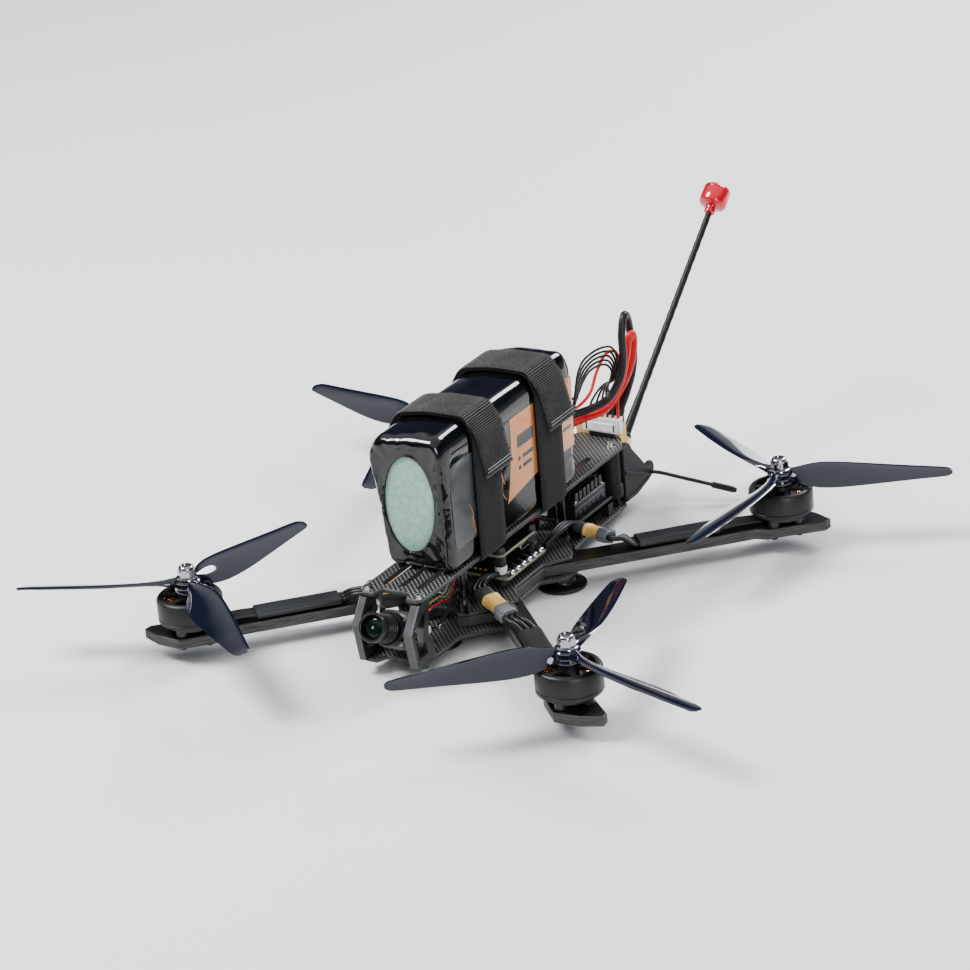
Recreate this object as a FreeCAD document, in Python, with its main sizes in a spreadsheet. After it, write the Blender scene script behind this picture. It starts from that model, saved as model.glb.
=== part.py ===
"""Seven inch FPV racing drone as a parametric FreeCAD document, one STEP file per sub-part.

Frame: nose towards -Y, +X is the drone's own left, +Z up. The origin is on the centre of the four motors,
at the height of the surface that the landing feet stand on. All lengths are in millimetres.
"""
import FreeCAD, Part
import math
import os
import Sketcher

Vector = FreeCAD.Vector
Rotation = FreeCAD.Rotation
Placement = FreeCAD.Placement

os.makedirs("parts", exist_ok=True)
doc = FreeCAD.newDocument("fpv_drone")

# ---------------------------------------------------------------- driving dimensions

DIMENSIONS = {
    # motor centres, from the middle of the four
    "motor_x": 109.6,
    "motor_y": 111.8,
    # heights of the stack, from the ground up
    "foot_height": 5.5,
    "bottom_thick": 2.5,
    "arm_thick": 5.5,
    "mid_thick": 2.0,
    "standoff_length": 32.2,
    "top_thick": 2.5,
    # plates
    "plate_half": 18.5,
    "plate_front": 95.5,
    "plate_rear": 118.5,
    "arm_half": 7.3,
    "edge_break": 0.5,
    # camera cage
    "cage_half": 17.3,
    "cage_thick": 4.5,
    "camera_half": 9.5,
    "pivot_y": -88.2,
    "pivot_z": 20.7,
    "camera_tilt": 27.0,
    # motors
    "bolt_circle": 19.0,
    "bell_radius": 16.7,
    "bell_lift": 6.1,
    "bell_height": 13.0,
    "hub_height": 20.4,
    "stator_radius": 14.0,
    "shaft_radius": 2.0,
    "stud_radius": 2.5,
    "running_gap": 0.05,
    # propellers
    "prop_radius": 88.9,
    "prop_hub_radius": 6.75,
    "prop_hub_height": 7.5,
    "nut_flats": 8.0,
    # screws
    "screw_radius": 1.5,
    "screw_head_radius": 2.8,
    "screw_head_height": 1.7,
    "screw_sink": 1.5,
    "screw_hole": 1.6,
    # electronics
    "stack_half": 15.25,
    "board_thick": 1.6,
    "esc_level": 22.5,
    "fc_level": 32.0,
    # battery and straps
    "battery_length": 130.0,
    "battery_middle": -1.5,
    "battery_height": 73.0,
    "strap_width": 25.0,
    "strap_thick": 2.0,
    "strap_gap": 0.25,
    "front_strap_y": -27.0,
    "rear_strap_y": 34.5,
    # antennas
    "antenna_rise": 39.6,
    "stem_radius": 1.85,
    "cap_radius": 7.8,
}

# heights worked out from the driving dimensions, as spreadsheet expressions
FRAME_LOW = "dims.foot_height"
ARM_LOW = "dims.foot_height + dims.bottom_thick"
DECK = ARM_LOW + " + dims.arm_thick"
MID_TOP = DECK + " + dims.mid_thick"
ROOF = ARM_LOW + " + dims.standoff_length"
ROOF_TOP = ROOF + " + dims.top_thick"

# the four corners: name, side of X, side of Y, spin seen from above (+1 anticlockwise), blade angle
CORNERS = (
    ("front_right", -1, -1, 1, 81.9),
    ("front_left", 1, -1, -1, 102.3),
    ("rear_left", 1, 1, 1, 26.2),
    ("rear_right", -1, 1, -1, 43.3),
)


def fill_sheet():
    """Writes the driving dimensions into a spreadsheet whose aliases the expressions use."""
    sheet = doc.addObject("Spreadsheet::Sheet", "dims")
    for row, (alias, value) in enumerate(DIMENSIONS.items(), 1):
        sheet.set("A%d" % row, alias)
        sheet.set("B%d" % row, str(value))
        sheet.setAlias("B%d" % row, alias)
    doc.recompute()


def size(alias):
    """A driving dimension as a number, for shapes made by Part functions."""
    return DIMENSIONS[alias]


# ---------------------------------------------------------------- small builders

parts = []


def publish(item, label):
    """Names a finished sub-part and lists it for export."""
    item.Label = label
    parts.append(item)
    return item


def bind(item, expressions):
    """Ties properties to expressions or plain numbers."""
    for name, text in expressions.items():
        item.setExpression(name, str(text))


def place(item, at, rotation=None):
    """Puts an object at a point given as three expressions, turned by a fixed rotation."""
    if rotation is not None:
        item.Placement = Placement(Vector(0, 0, 0), rotation)
    bind(item, {"Placement.Base.x": at[0], "Placement.Base.y": at[1], "Placement.Base.z": at[2]})
    return item


def box(name, extent, corner):
    """A Part::Box from its three sizes and its lowest corner."""
    item = doc.addObject("Part::Box", name)
    bind(item, {"Length": extent[0], "Width": extent[1], "Height": extent[2]})
    return place(item, corner)


def centred_box(name, extent, middle):
    """A Part::Box standing on its middle point: X and Y are centred, Z starts there."""
    low_x = "(%s) - (%s) / 2" % (middle[0], extent[0])
    low_y = "(%s) - (%s) / 2" % (middle[1], extent[1])
    corner = (low_x, low_y, middle[2])
    return box(name, extent, corner)


def cylinder(name, radius, height, base, rotation=None):
    """A Part::Cylinder that starts at base and runs along +Z, or along the turned +Z."""
    item = doc.addObject("Part::Cylinder", name)
    bind(item, {"Radius": radius, "Height": height})
    return place(item, base, rotation)


def cone(name, low_radius, high_radius, height, base, rotation=None):
    """A Part::Cone that starts at base."""
    item = doc.addObject("Part::Cone", name)
    bind(item, {"Radius1": low_radius, "Radius2": high_radius, "Height": height})
    return place(item, base, rotation)


def prism(name, sides, circumradius, height, base, rotation=None):
    """A Part::Prism, for hexagons."""
    item = doc.addObject("Part::Prism", name)
    item.Polygon = sides
    bind(item, {"Circumradius": circumradius, "Height": height})
    return place(item, base, rotation)


def fuse(name, items):
    """One solid from several overlapping ones."""
    item = doc.addObject("Part::MultiFuse", name)
    item.Shapes = items
    item.Refine = True
    return item


def group(name, items):
    """Separate solids that share one node."""
    item = doc.addObject("Part::Compound", name)
    item.Links = items
    return item


def cut(name, base, tools):
    """Base with one or more tools taken away."""
    tool = tools[0] if len(tools) == 1 else fuse(name + "_tools", tools)
    item = doc.addObject("Part::Cut", name)
    item.Base = base
    item.Tool = tool
    item.Refine = True
    return item


def shape_feature(name, shape):
    """A Part::Feature for the few shapes that are swept or lofted."""
    item = doc.addObject("Part::Feature", name)
    item.Shape = shape
    return item


def sketch_on(body, name, role):
    """A sketch flat on one of the body's own origin planes."""
    sketch = body.newObject("Sketcher::SketchObject", name)
    plane = [p for p in body.Origin.OriginFeatures if p.Role == role][0]
    sketch.AttachmentSupport = [(plane, "")]
    sketch.MapMode = "FlatFace"
    return sketch


def polygon(sketch, points):
    """A closed outline whose corners are held by distances from the sketch origin."""
    first = sketch.GeometryCount
    count = len(points)
    for i in range(count):
        start = Vector(i, i * i, 0)
        end = Vector(i + 1, (i + 1) ** 2, 0)
        sketch.addGeometry(Part.LineSegment(start, end), False)
    for i in range(count):
        sketch.addConstraint(Sketcher.Constraint("Coincident", first + i, 2, first + (i + 1) % count, 1))
    for i, corner in enumerate(points):
        for kind, value in zip(("DistanceX", "DistanceY"), corner):
            index = sketch.addConstraint(Sketcher.Constraint(kind, -1, 1, first + i, 1, 1.0 + i))
            sketch.setExpression("Constraints[%d]" % index, str(value))


def slab(name, role, points, depth, at, holes=()):
    """A body padded from an outline, with optional inner outlines left open."""
    body = doc.addObject("PartDesign::Body", name)
    sketch = sketch_on(body, name + "_outline", role)
    polygon(sketch, points)
    for hole in holes:
        polygon(sketch, hole)
    pad = body.newObject("PartDesign::Pad", name + "_pad")
    pad.Profile = sketch
    bind(pad, {"Length": depth})
    sketch.Visibility = False
    place(body, at)
    doc.recompute()
    return body


def edges_where(shape, test):
    """Names of the edges whose two end points satisfy a test."""
    names = []
    for number, edge in enumerate(shape.Edges, 1):
        if len(edge.Vertexes) == 2 and test(edge.Vertexes[0].Point, edge.Vertexes[1].Point):
            names.append("Edge%d" % number)
    return names


def break_edges(body, width, test):
    """Bevels the edges of a body's last feature that pass a test."""
    base = body.Tip
    names = edges_where(base.Shape, test)
    item = body.newObject("PartDesign::Chamfer", body.Name + "_bevel")
    item.Base = (base, names)
    bind(item, {"Size": width})
    doc.recompute()
    return item


def bevel(body, width, heights):
    """Breaks the sharp rims of the body's faces that lie flat at the given local heights."""
    base = body.Tip
    names = []
    for number, face in enumerate(base.Shape.Faces, 1):
        span = face.BoundBox
        if span.ZLength < 0.001 and any(abs(span.ZMin - level) < 0.001 for level in heights):
            names.append("Face%d" % number)
    item = body.newObject("PartDesign::Chamfer", body.Name + "_bevel")
    item.Base = (base, names)
    bind(item, {"Size": width})
    doc.recompute()
    return item


def slot_tool(name, width, length, height, middle):
    """A round-ended slot along Y, as a tool; middle is the slot's centre at its low end."""
    radius = "(%s) / 2" % width
    straight = "(%s) - (%s)" % (length, width)
    near = "(%s) - (%s) / 2" % (middle[1], straight)
    far = "(%s) + (%s) / 2" % (middle[1], straight)
    core = centred_box(name + "_core", (width, straight, height), middle)
    ends = [cylinder(name + "_near", radius, height, (middle[0], near, middle[2]))]
    ends.append(cylinder(name + "_far", radius, height, (middle[0], far, middle[2])))
    return fuse(name, [core] + ends)


def tube(points, radius):
    """A round cable swept along a smooth curve through the points."""
    curve = Part.BSplineCurve()
    curve.interpolate([Vector(*p) for p in points])
    edge = curve.toShape()
    start = edge.valueAt(edge.FirstParameter)
    ahead = edge.tangentAt(edge.FirstParameter)
    ring = Part.Wire(Part.makeCircle(radius, start, ahead))
    return Part.Wire(edge).makePipeShell([ring], True, True)


def button_screw(name, length, top, downwards=True):
    """A button-head screw; top is where its head's flat underside meets the plate."""
    way = 1 if downwards else -1
    turn = Rotation() if downwards else Rotation(Vector(1, 0, 0), 180)
    head = cone(name + "_head", "dims.screw_head_radius", "dims.screw_head_radius * 0.6",
                "dims.screw_head_height", top, turn)
    drive = prism(name + "_drive", 6, 1.15, "dims.screw_head_height",
                  (top[0], top[1], "(%s) + %d * 0.7" % (top[2], way)), turn)
    shank_top = "(%s) - %d * (%s)" % (top[2], way, length)
    shank = cylinder(name + "_shank", "dims.screw_radius", length, (top[0], top[1], shank_top), turn)
    return fuse(name, [cut(name + "_socket", head, [drive]), shank])


def flush_screw(name, length, top):
    """A countersunk screw whose flat head ends level with the plate's top face."""
    height = "dims.screw_sink"
    head = cone(name + "_head", "dims.screw_radius", "dims.screw_head_radius", height,
                (top[0], top[1], "(%s) - %s" % (top[2], height)))
    drive = prism(name + "_drive", 6, 1.15, height, (top[0], top[1], "(%s) - 1.1" % top[2]))
    shank_low = "(%s) - %s" % (top[2], length)
    shank = cylinder(name + "_shank", "dims.screw_radius", length, (top[0], top[1], shank_low))
    return cut(name + "_whole", fuse(name + "_solid", [head, shank]), [drive])


# ---------------------------------------------------------------- carbon frame

# where the six standoffs stand: name, X, Y
MID_POSTS = (("fl", 13.5, -49.0), ("fr", -13.5, -49.0), ("rl", 13.5, 49.5), ("rr", -13.5, 49.5))
TAIL_POSTS = (("tl", 12.0, 107.5), ("tr", -12.0, 107.5))
FEET = (("left", 26.0, 25.0), ("right", -26.0, 25.0), ("nose", 0.0, -57.0))
CAGE_SCREW_X = "dims.cage_half - dims.cage_thick / 2"
CAGE_SCREW_Y = -92.0


def stack_points():
    """The four corners of the electronics stack's screw pattern."""
    return [("s%d%d" % (sx, sy), "%d * dims.stack_half" % sx, "%d * dims.stack_half" % sy)
            for sx in (-1, 1) for sy in (-1, 1)]


def hole_tools(name, points, radius, low, height):
    """Cylinders that cut round holes through a plate."""
    return [cylinder("%s_%s" % (name, key), radius, height, (x, y, low)) for key, x, y in points]


def mirrored(right_half):
    """A whole outline from its +X half, which starts and ends on the centre line."""
    left = [("-(%s)" % x, y) for x, y in reversed(right_half) if x != 0]
    return list(right_half) + left


def make_top_plate():
    """The long carbon plate that the battery stands on, with a notch over the camera."""
    half = [
        (0, "-dims.plate_front + 6.5"), (7.0, "-dims.plate_front + 6.5"), (9.5, "-dims.plate_front"),
        ("dims.plate_half - 3", "-dims.plate_front"), ("dims.plate_half - 0.8", "-dims.plate_front + 3"),
        ("dims.plate_half", "-dims.plate_front + 14"), ("dims.plate_half", "dims.plate_rear - 10"),
        ("dims.plate_half - 6", "dims.plate_rear"), (0, "dims.plate_rear"),
    ]
    blank = slab("top_blank", "XY_Plane", mirrored(half), "dims.top_thick", (0, 0, ROOF))
    bevel(blank, "dims.edge_break", (0.0, size("top_thick")))
    tools = []
    through = "dims.top_thick + 2"
    below = ROOF + " - 1"
    for number, x in enumerate((-9.6, 0.0, 9.6)):
        tools.append(slot_tool("front_slot%d" % number, 3.4, 34.0, through, (x, -67.0, below)))
        tools.append(slot_tool("rear_slot%d" % number, 3.4, 22.0, through, (x, 78.0, below)))
    tools.append(slot_tool("lead_slot", 9.0, 26.0, through, (0, 2.0, below)))
    cage = [("cage%d" % s, "%d * (%s)" % (s, CAGE_SCREW_X), CAGE_SCREW_Y) for s in (-1, 1)]
    spots = list(MID_POSTS) + list(TAIL_POSTS) + cage
    tools += hole_tools("top_hole", spots, "dims.screw_hole", below, through)
    for key, x, y in MID_POSTS:
        sink_low = ROOF_TOP + " - dims.screw_sink"
        tools.append(cone("top_sink_" + key, "dims.screw_hole", "dims.screw_head_radius + 0.1",
                          "dims.screw_sink", (x, y, sink_low)))
    publish(cut("top_plate_cut", blank, tools), "top_plate")


def make_bottom_plate():
    """The lower carbon plate: nose, centre block with small lobes under the arm roots, and tail."""
    half = [
        (0, -93.0), (6.5, -93.0), (9.0, -98.5), (15.0, -98.5), (17.0, -95.5), (16.6, -62.0), (22.0, -54.0),
        (33.0, -40.0), (33.0, -25.0), (23.5, -13.5), (22.8, 10.0), (33.0, 19.4), (33.0, 30.0), (20.0, 44.0),
        (18.5, 60.0), (18.2, 98.0), (16.5, 112.5), (0, 112.5),
    ]
    blank = slab("bottom_blank", "XY_Plane", mirrored(half), "dims.bottom_thick", (0, 0, FRAME_LOW))
    bevel(blank, "dims.edge_break", (0.0, size("bottom_thick")))
    through = "dims.bottom_thick + 2"
    below = FRAME_LOW + " - 1"
    cage = [("cage%d" % s, "%d * (%s)" % (s, CAGE_SCREW_X), -93.5) for s in (-1, 1)]
    spots = stack_points() + list(MID_POSTS) + list(TAIL_POSTS) + cage + list(FEET)
    tools = hole_tools("bottom_hole", spots, "dims.screw_hole", below, through)
    for number, y in enumerate((-76.0, 72.0)):
        tools.append(slot_tool("bottom_slot%d" % number, 6.0, 20.0, through, (0, y, below)))
    publish(cut("bottom_plate_cut", blank, tools), "bottom_plate")


def make_mid_plate():
    """The carbon plate that clamps the four arm roots from above."""
    half = [
        (0, -47.5), (6.5, -48.5), (11.0, -52.5), (16.5, -50.0), (19.0, -46.0), (28.0, -34.5), (32.0, -27.5),
        (22.3, -14.3), (22.0, 14.5), (31.5, 27.5), (28.0, 34.5), (19.0, 46.5), (16.5, 51.0), (11.0, 53.0),
        (6.5, 49.0), (0, 48.0),
    ]
    blank = slab("mid_blank", "XY_Plane", mirrored(half), "dims.mid_thick", (0, 0, DECK))
    bevel(blank, "dims.edge_break", (0.0, size("mid_thick")))
    through = "dims.mid_thick + 2"
    below = DECK + " - 1"
    tools = hole_tools("mid_hole", stack_points() + list(MID_POSTS), "dims.screw_hole", below, through)
    tools.append(slot_tool("mid_slot", 5.0, 16.0, through, (0, 0, below)))
    publish(cut("mid_plate_cut", blank, tools), "mid_plate")


def arm_point(along_arm, across):
    """A corner of the front-left arm's end pad, from its distances along and across the arm."""
    lean = math.sqrt(0.5)
    side = lean * (along_arm - across)
    fore = lean * (along_arm + across)
    return ("dims.motor_x + %.3f" % side, "dims.motor_y + %.3f" % fore)


def arm_outline():
    """One arm in the positive quarter: a root block that meets its neighbours, a beam and a motor pad."""
    offset = "1.4142 * dims.arm_half"
    lean = "dims.motor_y - dims.motor_x"
    seam = 0.05
    root = [(seam, seam), (22.6, seam), (22.6, "22.6 + %s - %s" % (lean, offset))]
    pad_in = [arm_point(-17.5, -size("arm_half")), arm_point(-11.5, -10.7), arm_point(1.4, -10.9)]
    pad_out = [arm_point(19.9, -12.2), arm_point(23.1, -9.6), arm_point(18.9, 0.6), arm_point(9.5, 11.4),
               arm_point(-9.3, 11.4), arm_point(-17.0, size("arm_half"))]
    shoulder = [("27.5", "27.5 + %s + %s" % (lean, offset)), (19.2, 46.4), (16.2, 50.6), (11.0, 52.9),
                (7.6, 51.4), (6.5, 46.0), (seam, 44.0)]
    return root + pad_in + pad_out + shoulder


def make_arm(corner):
    """An arm for one corner, mirrored from the positive quarter by its outline's signs."""
    name, sx, sy = corner[0], corner[1], corner[2]
    points = [("%d * (%s)" % (sx, x), "%d * (%s)" % (sy, y)) for x, y in arm_outline()]
    blank = slab("arm_blank_" + name, "XY_Plane", points, "dims.arm_thick", (0, 0, ARM_LOW))
    bevel(blank, "dims.edge_break", (0.0, size("arm_thick")))
    through = "dims.arm_thick + 2"
    below = ARM_LOW + " - 1"
    spots = [("stack", "%d * dims.stack_half" % sx, "%d * dims.stack_half" % sy)]
    spots.append(("post", sx * 13.5, -49.0 if sy < 0 else 49.5))
    for number, (dx, dy) in enumerate(((1, 0), (0, 1), (-1, 0), (0, -1))):
        x = "%d * dims.motor_x + %d * dims.bolt_circle / 2" % (sx, dx)
        y = "%d * dims.motor_y + %d * dims.bolt_circle / 2" % (sy, dy)
        spots.append(("bolt%d" % number, x, y))
    spots_tools = hole_tools("arm_hole_" + name, spots, "dims.screw_hole", below, through)
    centre = ("%d * dims.motor_x" % sx, "%d * dims.motor_y" % sy, below)
    spots_tools.append(cylinder("arm_bore_" + name, 4.0, through, centre))
    publish(cut("arm_cut_" + name, blank, spots_tools), "arm_" + name)


def front_rim(side):
    """Tests for the forward edges on a camera plate's outer face."""
    outer = size("cage_thick") if side > 0 else 0.0

    def test(a, b):
        return all(abs(p.x - outer) < 0.01 and p.y < -96 for p in (a, b))
    return test


def make_camera_plates():
    """The two machined side plates that carry the camera, each with a tall window."""
    outline = [
        (-96.4, ROOF), (-105.7, 28.2), (-102.0, ARM_LOW), (-85.5, ARM_LOW), (-85.0, 16.5), (-89.5, 19.0),
        (-89.3, 26.5), (-86.0, ROOF),
    ]
    window = [(-91.0, 35.5), (-101.8, 28.6), (-98.8, 13.0), (-91.4, 13.0), (-93.6, 19.5), (-93.6, 26.8)]
    for label, side in (("camera_plate_left", 1), ("camera_plate_right", -1)):
        start = "dims.cage_half - dims.cage_thick" if side > 0 else "-dims.cage_half"
        body = slab(label + "_body", "YZ_Plane", outline, "dims.cage_thick", (start, 0, 0), [window])
        break_edges(body, 0.8, front_rim(side))
        screw_x = "%d * (%s)" % (side, CAGE_SCREW_X)
        tap_radius = "dims.screw_radius + 0.02"
        tools = [cylinder(label + "_tap_top", tap_radius, 9.0, (screw_x, CAGE_SCREW_Y, ROOF + " - 9"))]
        tools.append(cylinder(label + "_tap_low", "dims.screw_radius + 0.02", 4.5, (screw_x, -93.5, ARM_LOW)))
        publish(cut(label + "_cut", body, tools), label)


def make_standoffs():
    """Six round aluminium standoffs with threaded ends and a knurled foot."""
    items = []
    for key, x, y in MID_POSTS:
        length = "(%s) - (%s)" % (ROOF, MID_TOP)
        items.append(standoff(key, x, y, MID_TOP, length))
    for key, x, y in TAIL_POSTS:
        items.append(standoff(key, x, y, ARM_LOW, "dims.standoff_length"))
    publish(group("standoff_set", items), "standoffs")


def standoff(key, x, y, low, length):
    """One standoff: a slim post, a wider knurled foot and a tapped hole at each end."""
    post = cylinder("post_" + key, 2.5, length, (x, y, low))
    foot = cylinder("post_foot_" + key, 3.1, 5.0, (x, y, low))
    depth = 9.0
    tap_low = cylinder("post_tap_low_" + key, "dims.screw_radius + 0.02", depth, (x, y, low))
    top = "(%s) + (%s) - %s" % (low, length, depth)
    tap_top = cylinder("post_tap_top_" + key, "dims.screw_radius + 0.02", depth, (x, y, top))
    return cut("standoff_" + key, fuse("post_body_" + key, [post, foot]), [tap_low, tap_top])


def make_frame_screws():
    """Button-head screws through the plates into the standoffs and the camera plates."""
    items = []
    for key, x, y in MID_POSTS:
        items.append(flush_screw("roof_screw_" + key, 9.0, (x, y, ROOF_TOP)))
    for key, x, y in TAIL_POSTS:
        items.append(button_screw("roof_screw_" + key, 8.0, (x, y, ROOF_TOP)))
    for key, x, y in MID_POSTS:
        items.append(button_screw("floor_screw_" + key, 16.0, (x, y, FRAME_LOW), False))
    for key, x, y in TAIL_POSTS:
        items.append(button_screw("floor_screw_" + key, 8.0, (x, y, FRAME_LOW), False))
    for side in (-1, 1):
        x = "%d * (%s)" % (side, CAGE_SCREW_X)
        items.append(button_screw("cage_roof_%d" % side, 8.0, (x, CAGE_SCREW_Y, ROOF_TOP)))
        items.append(button_screw("cage_floor_%d" % side, 6.0, (x, -93.5, FRAME_LOW), False))
    publish(group("frame_screw_set", items), "frame_screws")


def make_landing_feet():
    """Three rubber disc feet, under the rear arm roots and the nose, each on a neck with a press-in stud."""
    items = []
    for key, x, y in FEET:
        disc = cylinder("foot_disc_" + key, 13.0, 2.6, (x, y, 0))
        neck = cone("foot_neck_" + key, 8.0, 5.5, "dims.foot_height - 2.6", (x, y, 2.6))
        stud = cylinder("foot_stud_" + key, 1.5, "dims.bottom_thick", (x, y, FRAME_LOW))
        items.append(fuse("foot_" + key, [disc, neck, stud]))
    publish(group("landing_foot_set", items), "landing_feet")


# ---------------------------------------------------------------- motors and propellers

BOLT_WAYS = ((1, 0), (0, 1), (-1, 0), (0, -1))
SPOKES = 6
SLOTS = 12
MAGNETS = 14


def corner_xy(corner):
    """A motor's centre as two expressions."""
    return "%d * dims.motor_x" % corner[1], "%d * dims.motor_y" % corner[2]


def on_deck(height):
    """A height above the arm's top face, as an expression."""
    return "(%s) + (%s)" % (DECK, height)


def make_motor_base(corner):
    """The fixed aluminium base: four bolt feet joined by a web, and the tube that holds the bearings."""
    name = corner[0]
    x, y = corner_xy(corner)
    web = cylinder("base_web_" + name, 12.2, 1.4, (x, y, on_deck(3.4)))
    tube_part = cylinder("base_tube_" + name, 6.0, 15.8, (x, y, on_deck(0.8)))
    solids = [web, tube_part]
    holes = [cylinder("base_bore_" + name, 4.5, 4.2, (x, y, on_deck(0.8)))]
    holes.append(cylinder("base_bore_top_" + name, 4.5, 4.2, (x, y, on_deck(12.4))))
    holes.append(cylinder("base_bore_mid_" + name, 3.4, 15.8, (x, y, on_deck(0.8))))
    for number, (dx, dy) in enumerate(BOLT_WAYS):
        foot_x = "%s + %d * dims.bolt_circle / 2" % (x, dx)
        foot_y = "%s + %d * dims.bolt_circle / 2" % (y, dy)
        solids.append(cylinder("base_foot%d_%s" % (number, name), 3.2, 4.8, (foot_x, foot_y, DECK)))
        leg_x = "%s + %d * dims.bolt_circle / 4" % (x, dx)
        leg_y = "%s + %d * dims.bolt_circle / 4" % (y, dy)
        extent = ("dims.bolt_circle / 2", 4.4, 3.0) if dx else (4.4, "dims.bolt_circle / 2", 3.0)
        solids.append(centred_box("base_leg%d_%s" % (number, name), extent, (leg_x, leg_y, on_deck(1.6))))
        holes.append(cylinder("base_tap%d_%s" % (number, name), "dims.screw_radius + 0.02", 4.0,
                              (foot_x, foot_y, DECK)))
    whole = cut("base_" + name, fuse("base_solid_" + name, solids), holes)
    publish(whole, "motor_base_" + name)


def make_bell(corner):
    """The turning bell: a can with magnets inside and a spoked top, as separate solids."""
    name = corner[0]
    x, y = corner_xy(corner)
    low = on_deck("dims.bell_lift")
    can = cylinder("can_" + name, "dims.bell_radius", "dims.bell_height", (x, y, low))
    hollow = cylinder("can_hollow_" + name, "dims.bell_radius - 0.9", "dims.bell_height - 2.4", (x, y, low))
    opening = cylinder("can_opening_" + name, "dims.bell_radius - 3.4", "dims.bell_height + 1", (x, y, low))
    ring = cut("can_ring_" + name, can, [hollow, opening])
    spoke_low = on_deck("dims.bell_lift + dims.bell_height - 2.4")
    solids = [ring]
    for number in range(SPOKES):
        turn = Rotation(Vector(0, 0, 1), 360.0 * number / SPOKES + 15.0)
        spoke = doc.addObject("Part::Box", "spoke%d_%s" % (number, name))
        bind(spoke, {"Length": "dims.bell_radius - 2.5", "Width": 2.2, "Height": 1.9})
        reach = turn.multVec(Vector(0, -1.1, 0))
        place(spoke, ("%s + %.4f" % (x, reach.x), "%s + %.4f" % (y, reach.y), spoke_low), turn)
        solids.append(spoke)
    hub_height = "dims.hub_height - (dims.bell_lift + dims.bell_height - 2.4)"
    solids.append(cone("bell_hub_" + name, 6.6, 6.2, hub_height, (x, y, spoke_low)))
    bore = cylinder("bell_bore_" + name, "dims.shaft_radius + 0.02", 30.0, (x, y, DECK))
    body = cut("bell_body_" + name, fuse("bell_solid_" + name, solids), [bore])
    magnets = [magnet(name, number, x, y) for number in range(MAGNETS)]
    publish(group("bell_set_" + name, [body] + magnets), "bell_" + name)


def magnet(name, number, x, y):
    """One flat magnet bar against the inside of the can."""
    turn = Rotation(Vector(0, 0, 1), 360.0 * number / MAGNETS)
    corner = turn.multVec(Vector(size("stator_radius") + 0.35, -2.6, 0))
    item = doc.addObject("Part::Box", "magnet%d_%s" % (number, name))
    bind(item, {"Length": 1.2, "Width": 5.2, "Height": 8.2})
    return place(item, ("%s + %.4f" % (x, corner.x), "%s + %.4f" % (y, corner.y), on_deck(6.9)), turn)


def make_shaft(corner):
    """The steel shaft, with a larger threaded stud above the bell for the propeller nut."""
    name = corner[0]
    x, y = corner_xy(corner)
    shaft = cylinder("shaft_low_" + name, "dims.shaft_radius", "dims.hub_height - 1", (x, y, on_deck(1)))
    stud_height = "dims.prop_hub_height + 6.4"
    stud = cylinder("shaft_stud_" + name, "dims.stud_radius", stud_height, (x, y, on_deck("dims.hub_height")))
    publish(fuse("shaft_solid_" + name, [shaft, stud]), "shaft_" + name)


def make_prop_nut(corner):
    """A flanged lock nut: flange, hexagon and a rounded nylon collar."""
    name = corner[0]
    x, y = corner_xy(corner)
    low = on_deck("dims.hub_height + dims.prop_hub_height")
    flange = cylinder("nut_flange_" + name, 5.6, 1.2, (x, y, low))
    hexagon = prism("nut_hex_" + name, 6, "dims.nut_flats * 0.5774", 4.4, (x, y, "%s + 0.8" % low))
    collar = cone("nut_collar_" + name, 3.9, 3.1, 1.8, (x, y, "%s + 5.2" % low))
    bore = cylinder("nut_bore_" + name, "dims.stud_radius + 0.02", 9.0, (x, y, "%s - 1" % low))
    publish(cut("nut_" + name, fuse("nut_solid_" + name, [flange, hexagon, collar]), [bore]),
            "prop_nut_" + name)


def make_stators():
    """Four laminated stators, each with twelve teeth wrapped in copper, as separate solids."""
    items = []
    for corner in CORNERS:
        name = corner[0]
        x, y = corner_xy(corner)
        low = on_deck(7.4)
        disc = cylinder("core_disc_" + name, "dims.stator_radius", 7.2, (x, y, low))
        windows = [cylinder("core_bore_" + name, 6.0, 9.0, (x, y, low))]
        coils = []
        for number in range(SLOTS):
            turn = Rotation(Vector(0, 0, 1), 360.0 * (number + 0.5) / SLOTS)
            label = "core_slot%d_%s" % (number, name)
            windows.append(radial_box(label, turn, 8.2, 12.4, 3.2, 9.0, x, y, low))
            mouth = radial_box("core_mouth%d_%s" % (number, name), turn, 12.0, 15.0, 1.0, 9.0, x, y, low)
            windows.append(mouth)
            coils.append(coil(number, name, x, y))
        items.append(cut("core_" + name, disc, windows))
        items += coils
    publish(group("stator_set", items), "stators")


def radial_box(name, turn, inner, outer, width, height, x, y, low):
    """A box that points outwards from an axis, between two radii."""
    item = doc.addObject("Part::Box", name)
    bind(item, {"Length": outer - inner, "Width": width, "Height": height})
    corner = turn.multVec(Vector(inner, -width / 2.0, 0))
    return place(item, ("%s + %.4f" % (x, corner.x), "%s + %.4f" % (y, corner.y), low), turn)


def coil(number, name, x, y):
    """The top of one tooth's winding, a small copper block that stands on the laminations."""
    turn = Rotation(Vector(0, 0, 1), 360.0 * number / SLOTS)
    return radial_box("coil%d_%s" % (number, name), turn, 8.4, 12.4, 2.6, 1.3, x, y, on_deck(14.6))


def make_motor_bearings():
    """Two bearing rings in each base tube, with a running gap around the shaft."""
    items = []
    for corner in CORNERS:
        name = corner[0]
        x, y = corner_xy(corner)
        for number, height in enumerate((1.0, 12.4)):
            outer = cylinder("bearing%d_%s" % (number, name), 4.48, 4.0, (x, y, on_deck(height)))
            bore = "dims.shaft_radius + dims.running_gap"
            inner = cylinder("bearing_bore%d_%s" % (number, name), bore, 4.0,
                             (x, y, on_deck(height)))
            items.append(cut("bearing_ring%d_%s" % (number, name), outer, [inner]))
    publish(group("bearing_set", items), "motor_bearings")


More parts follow.
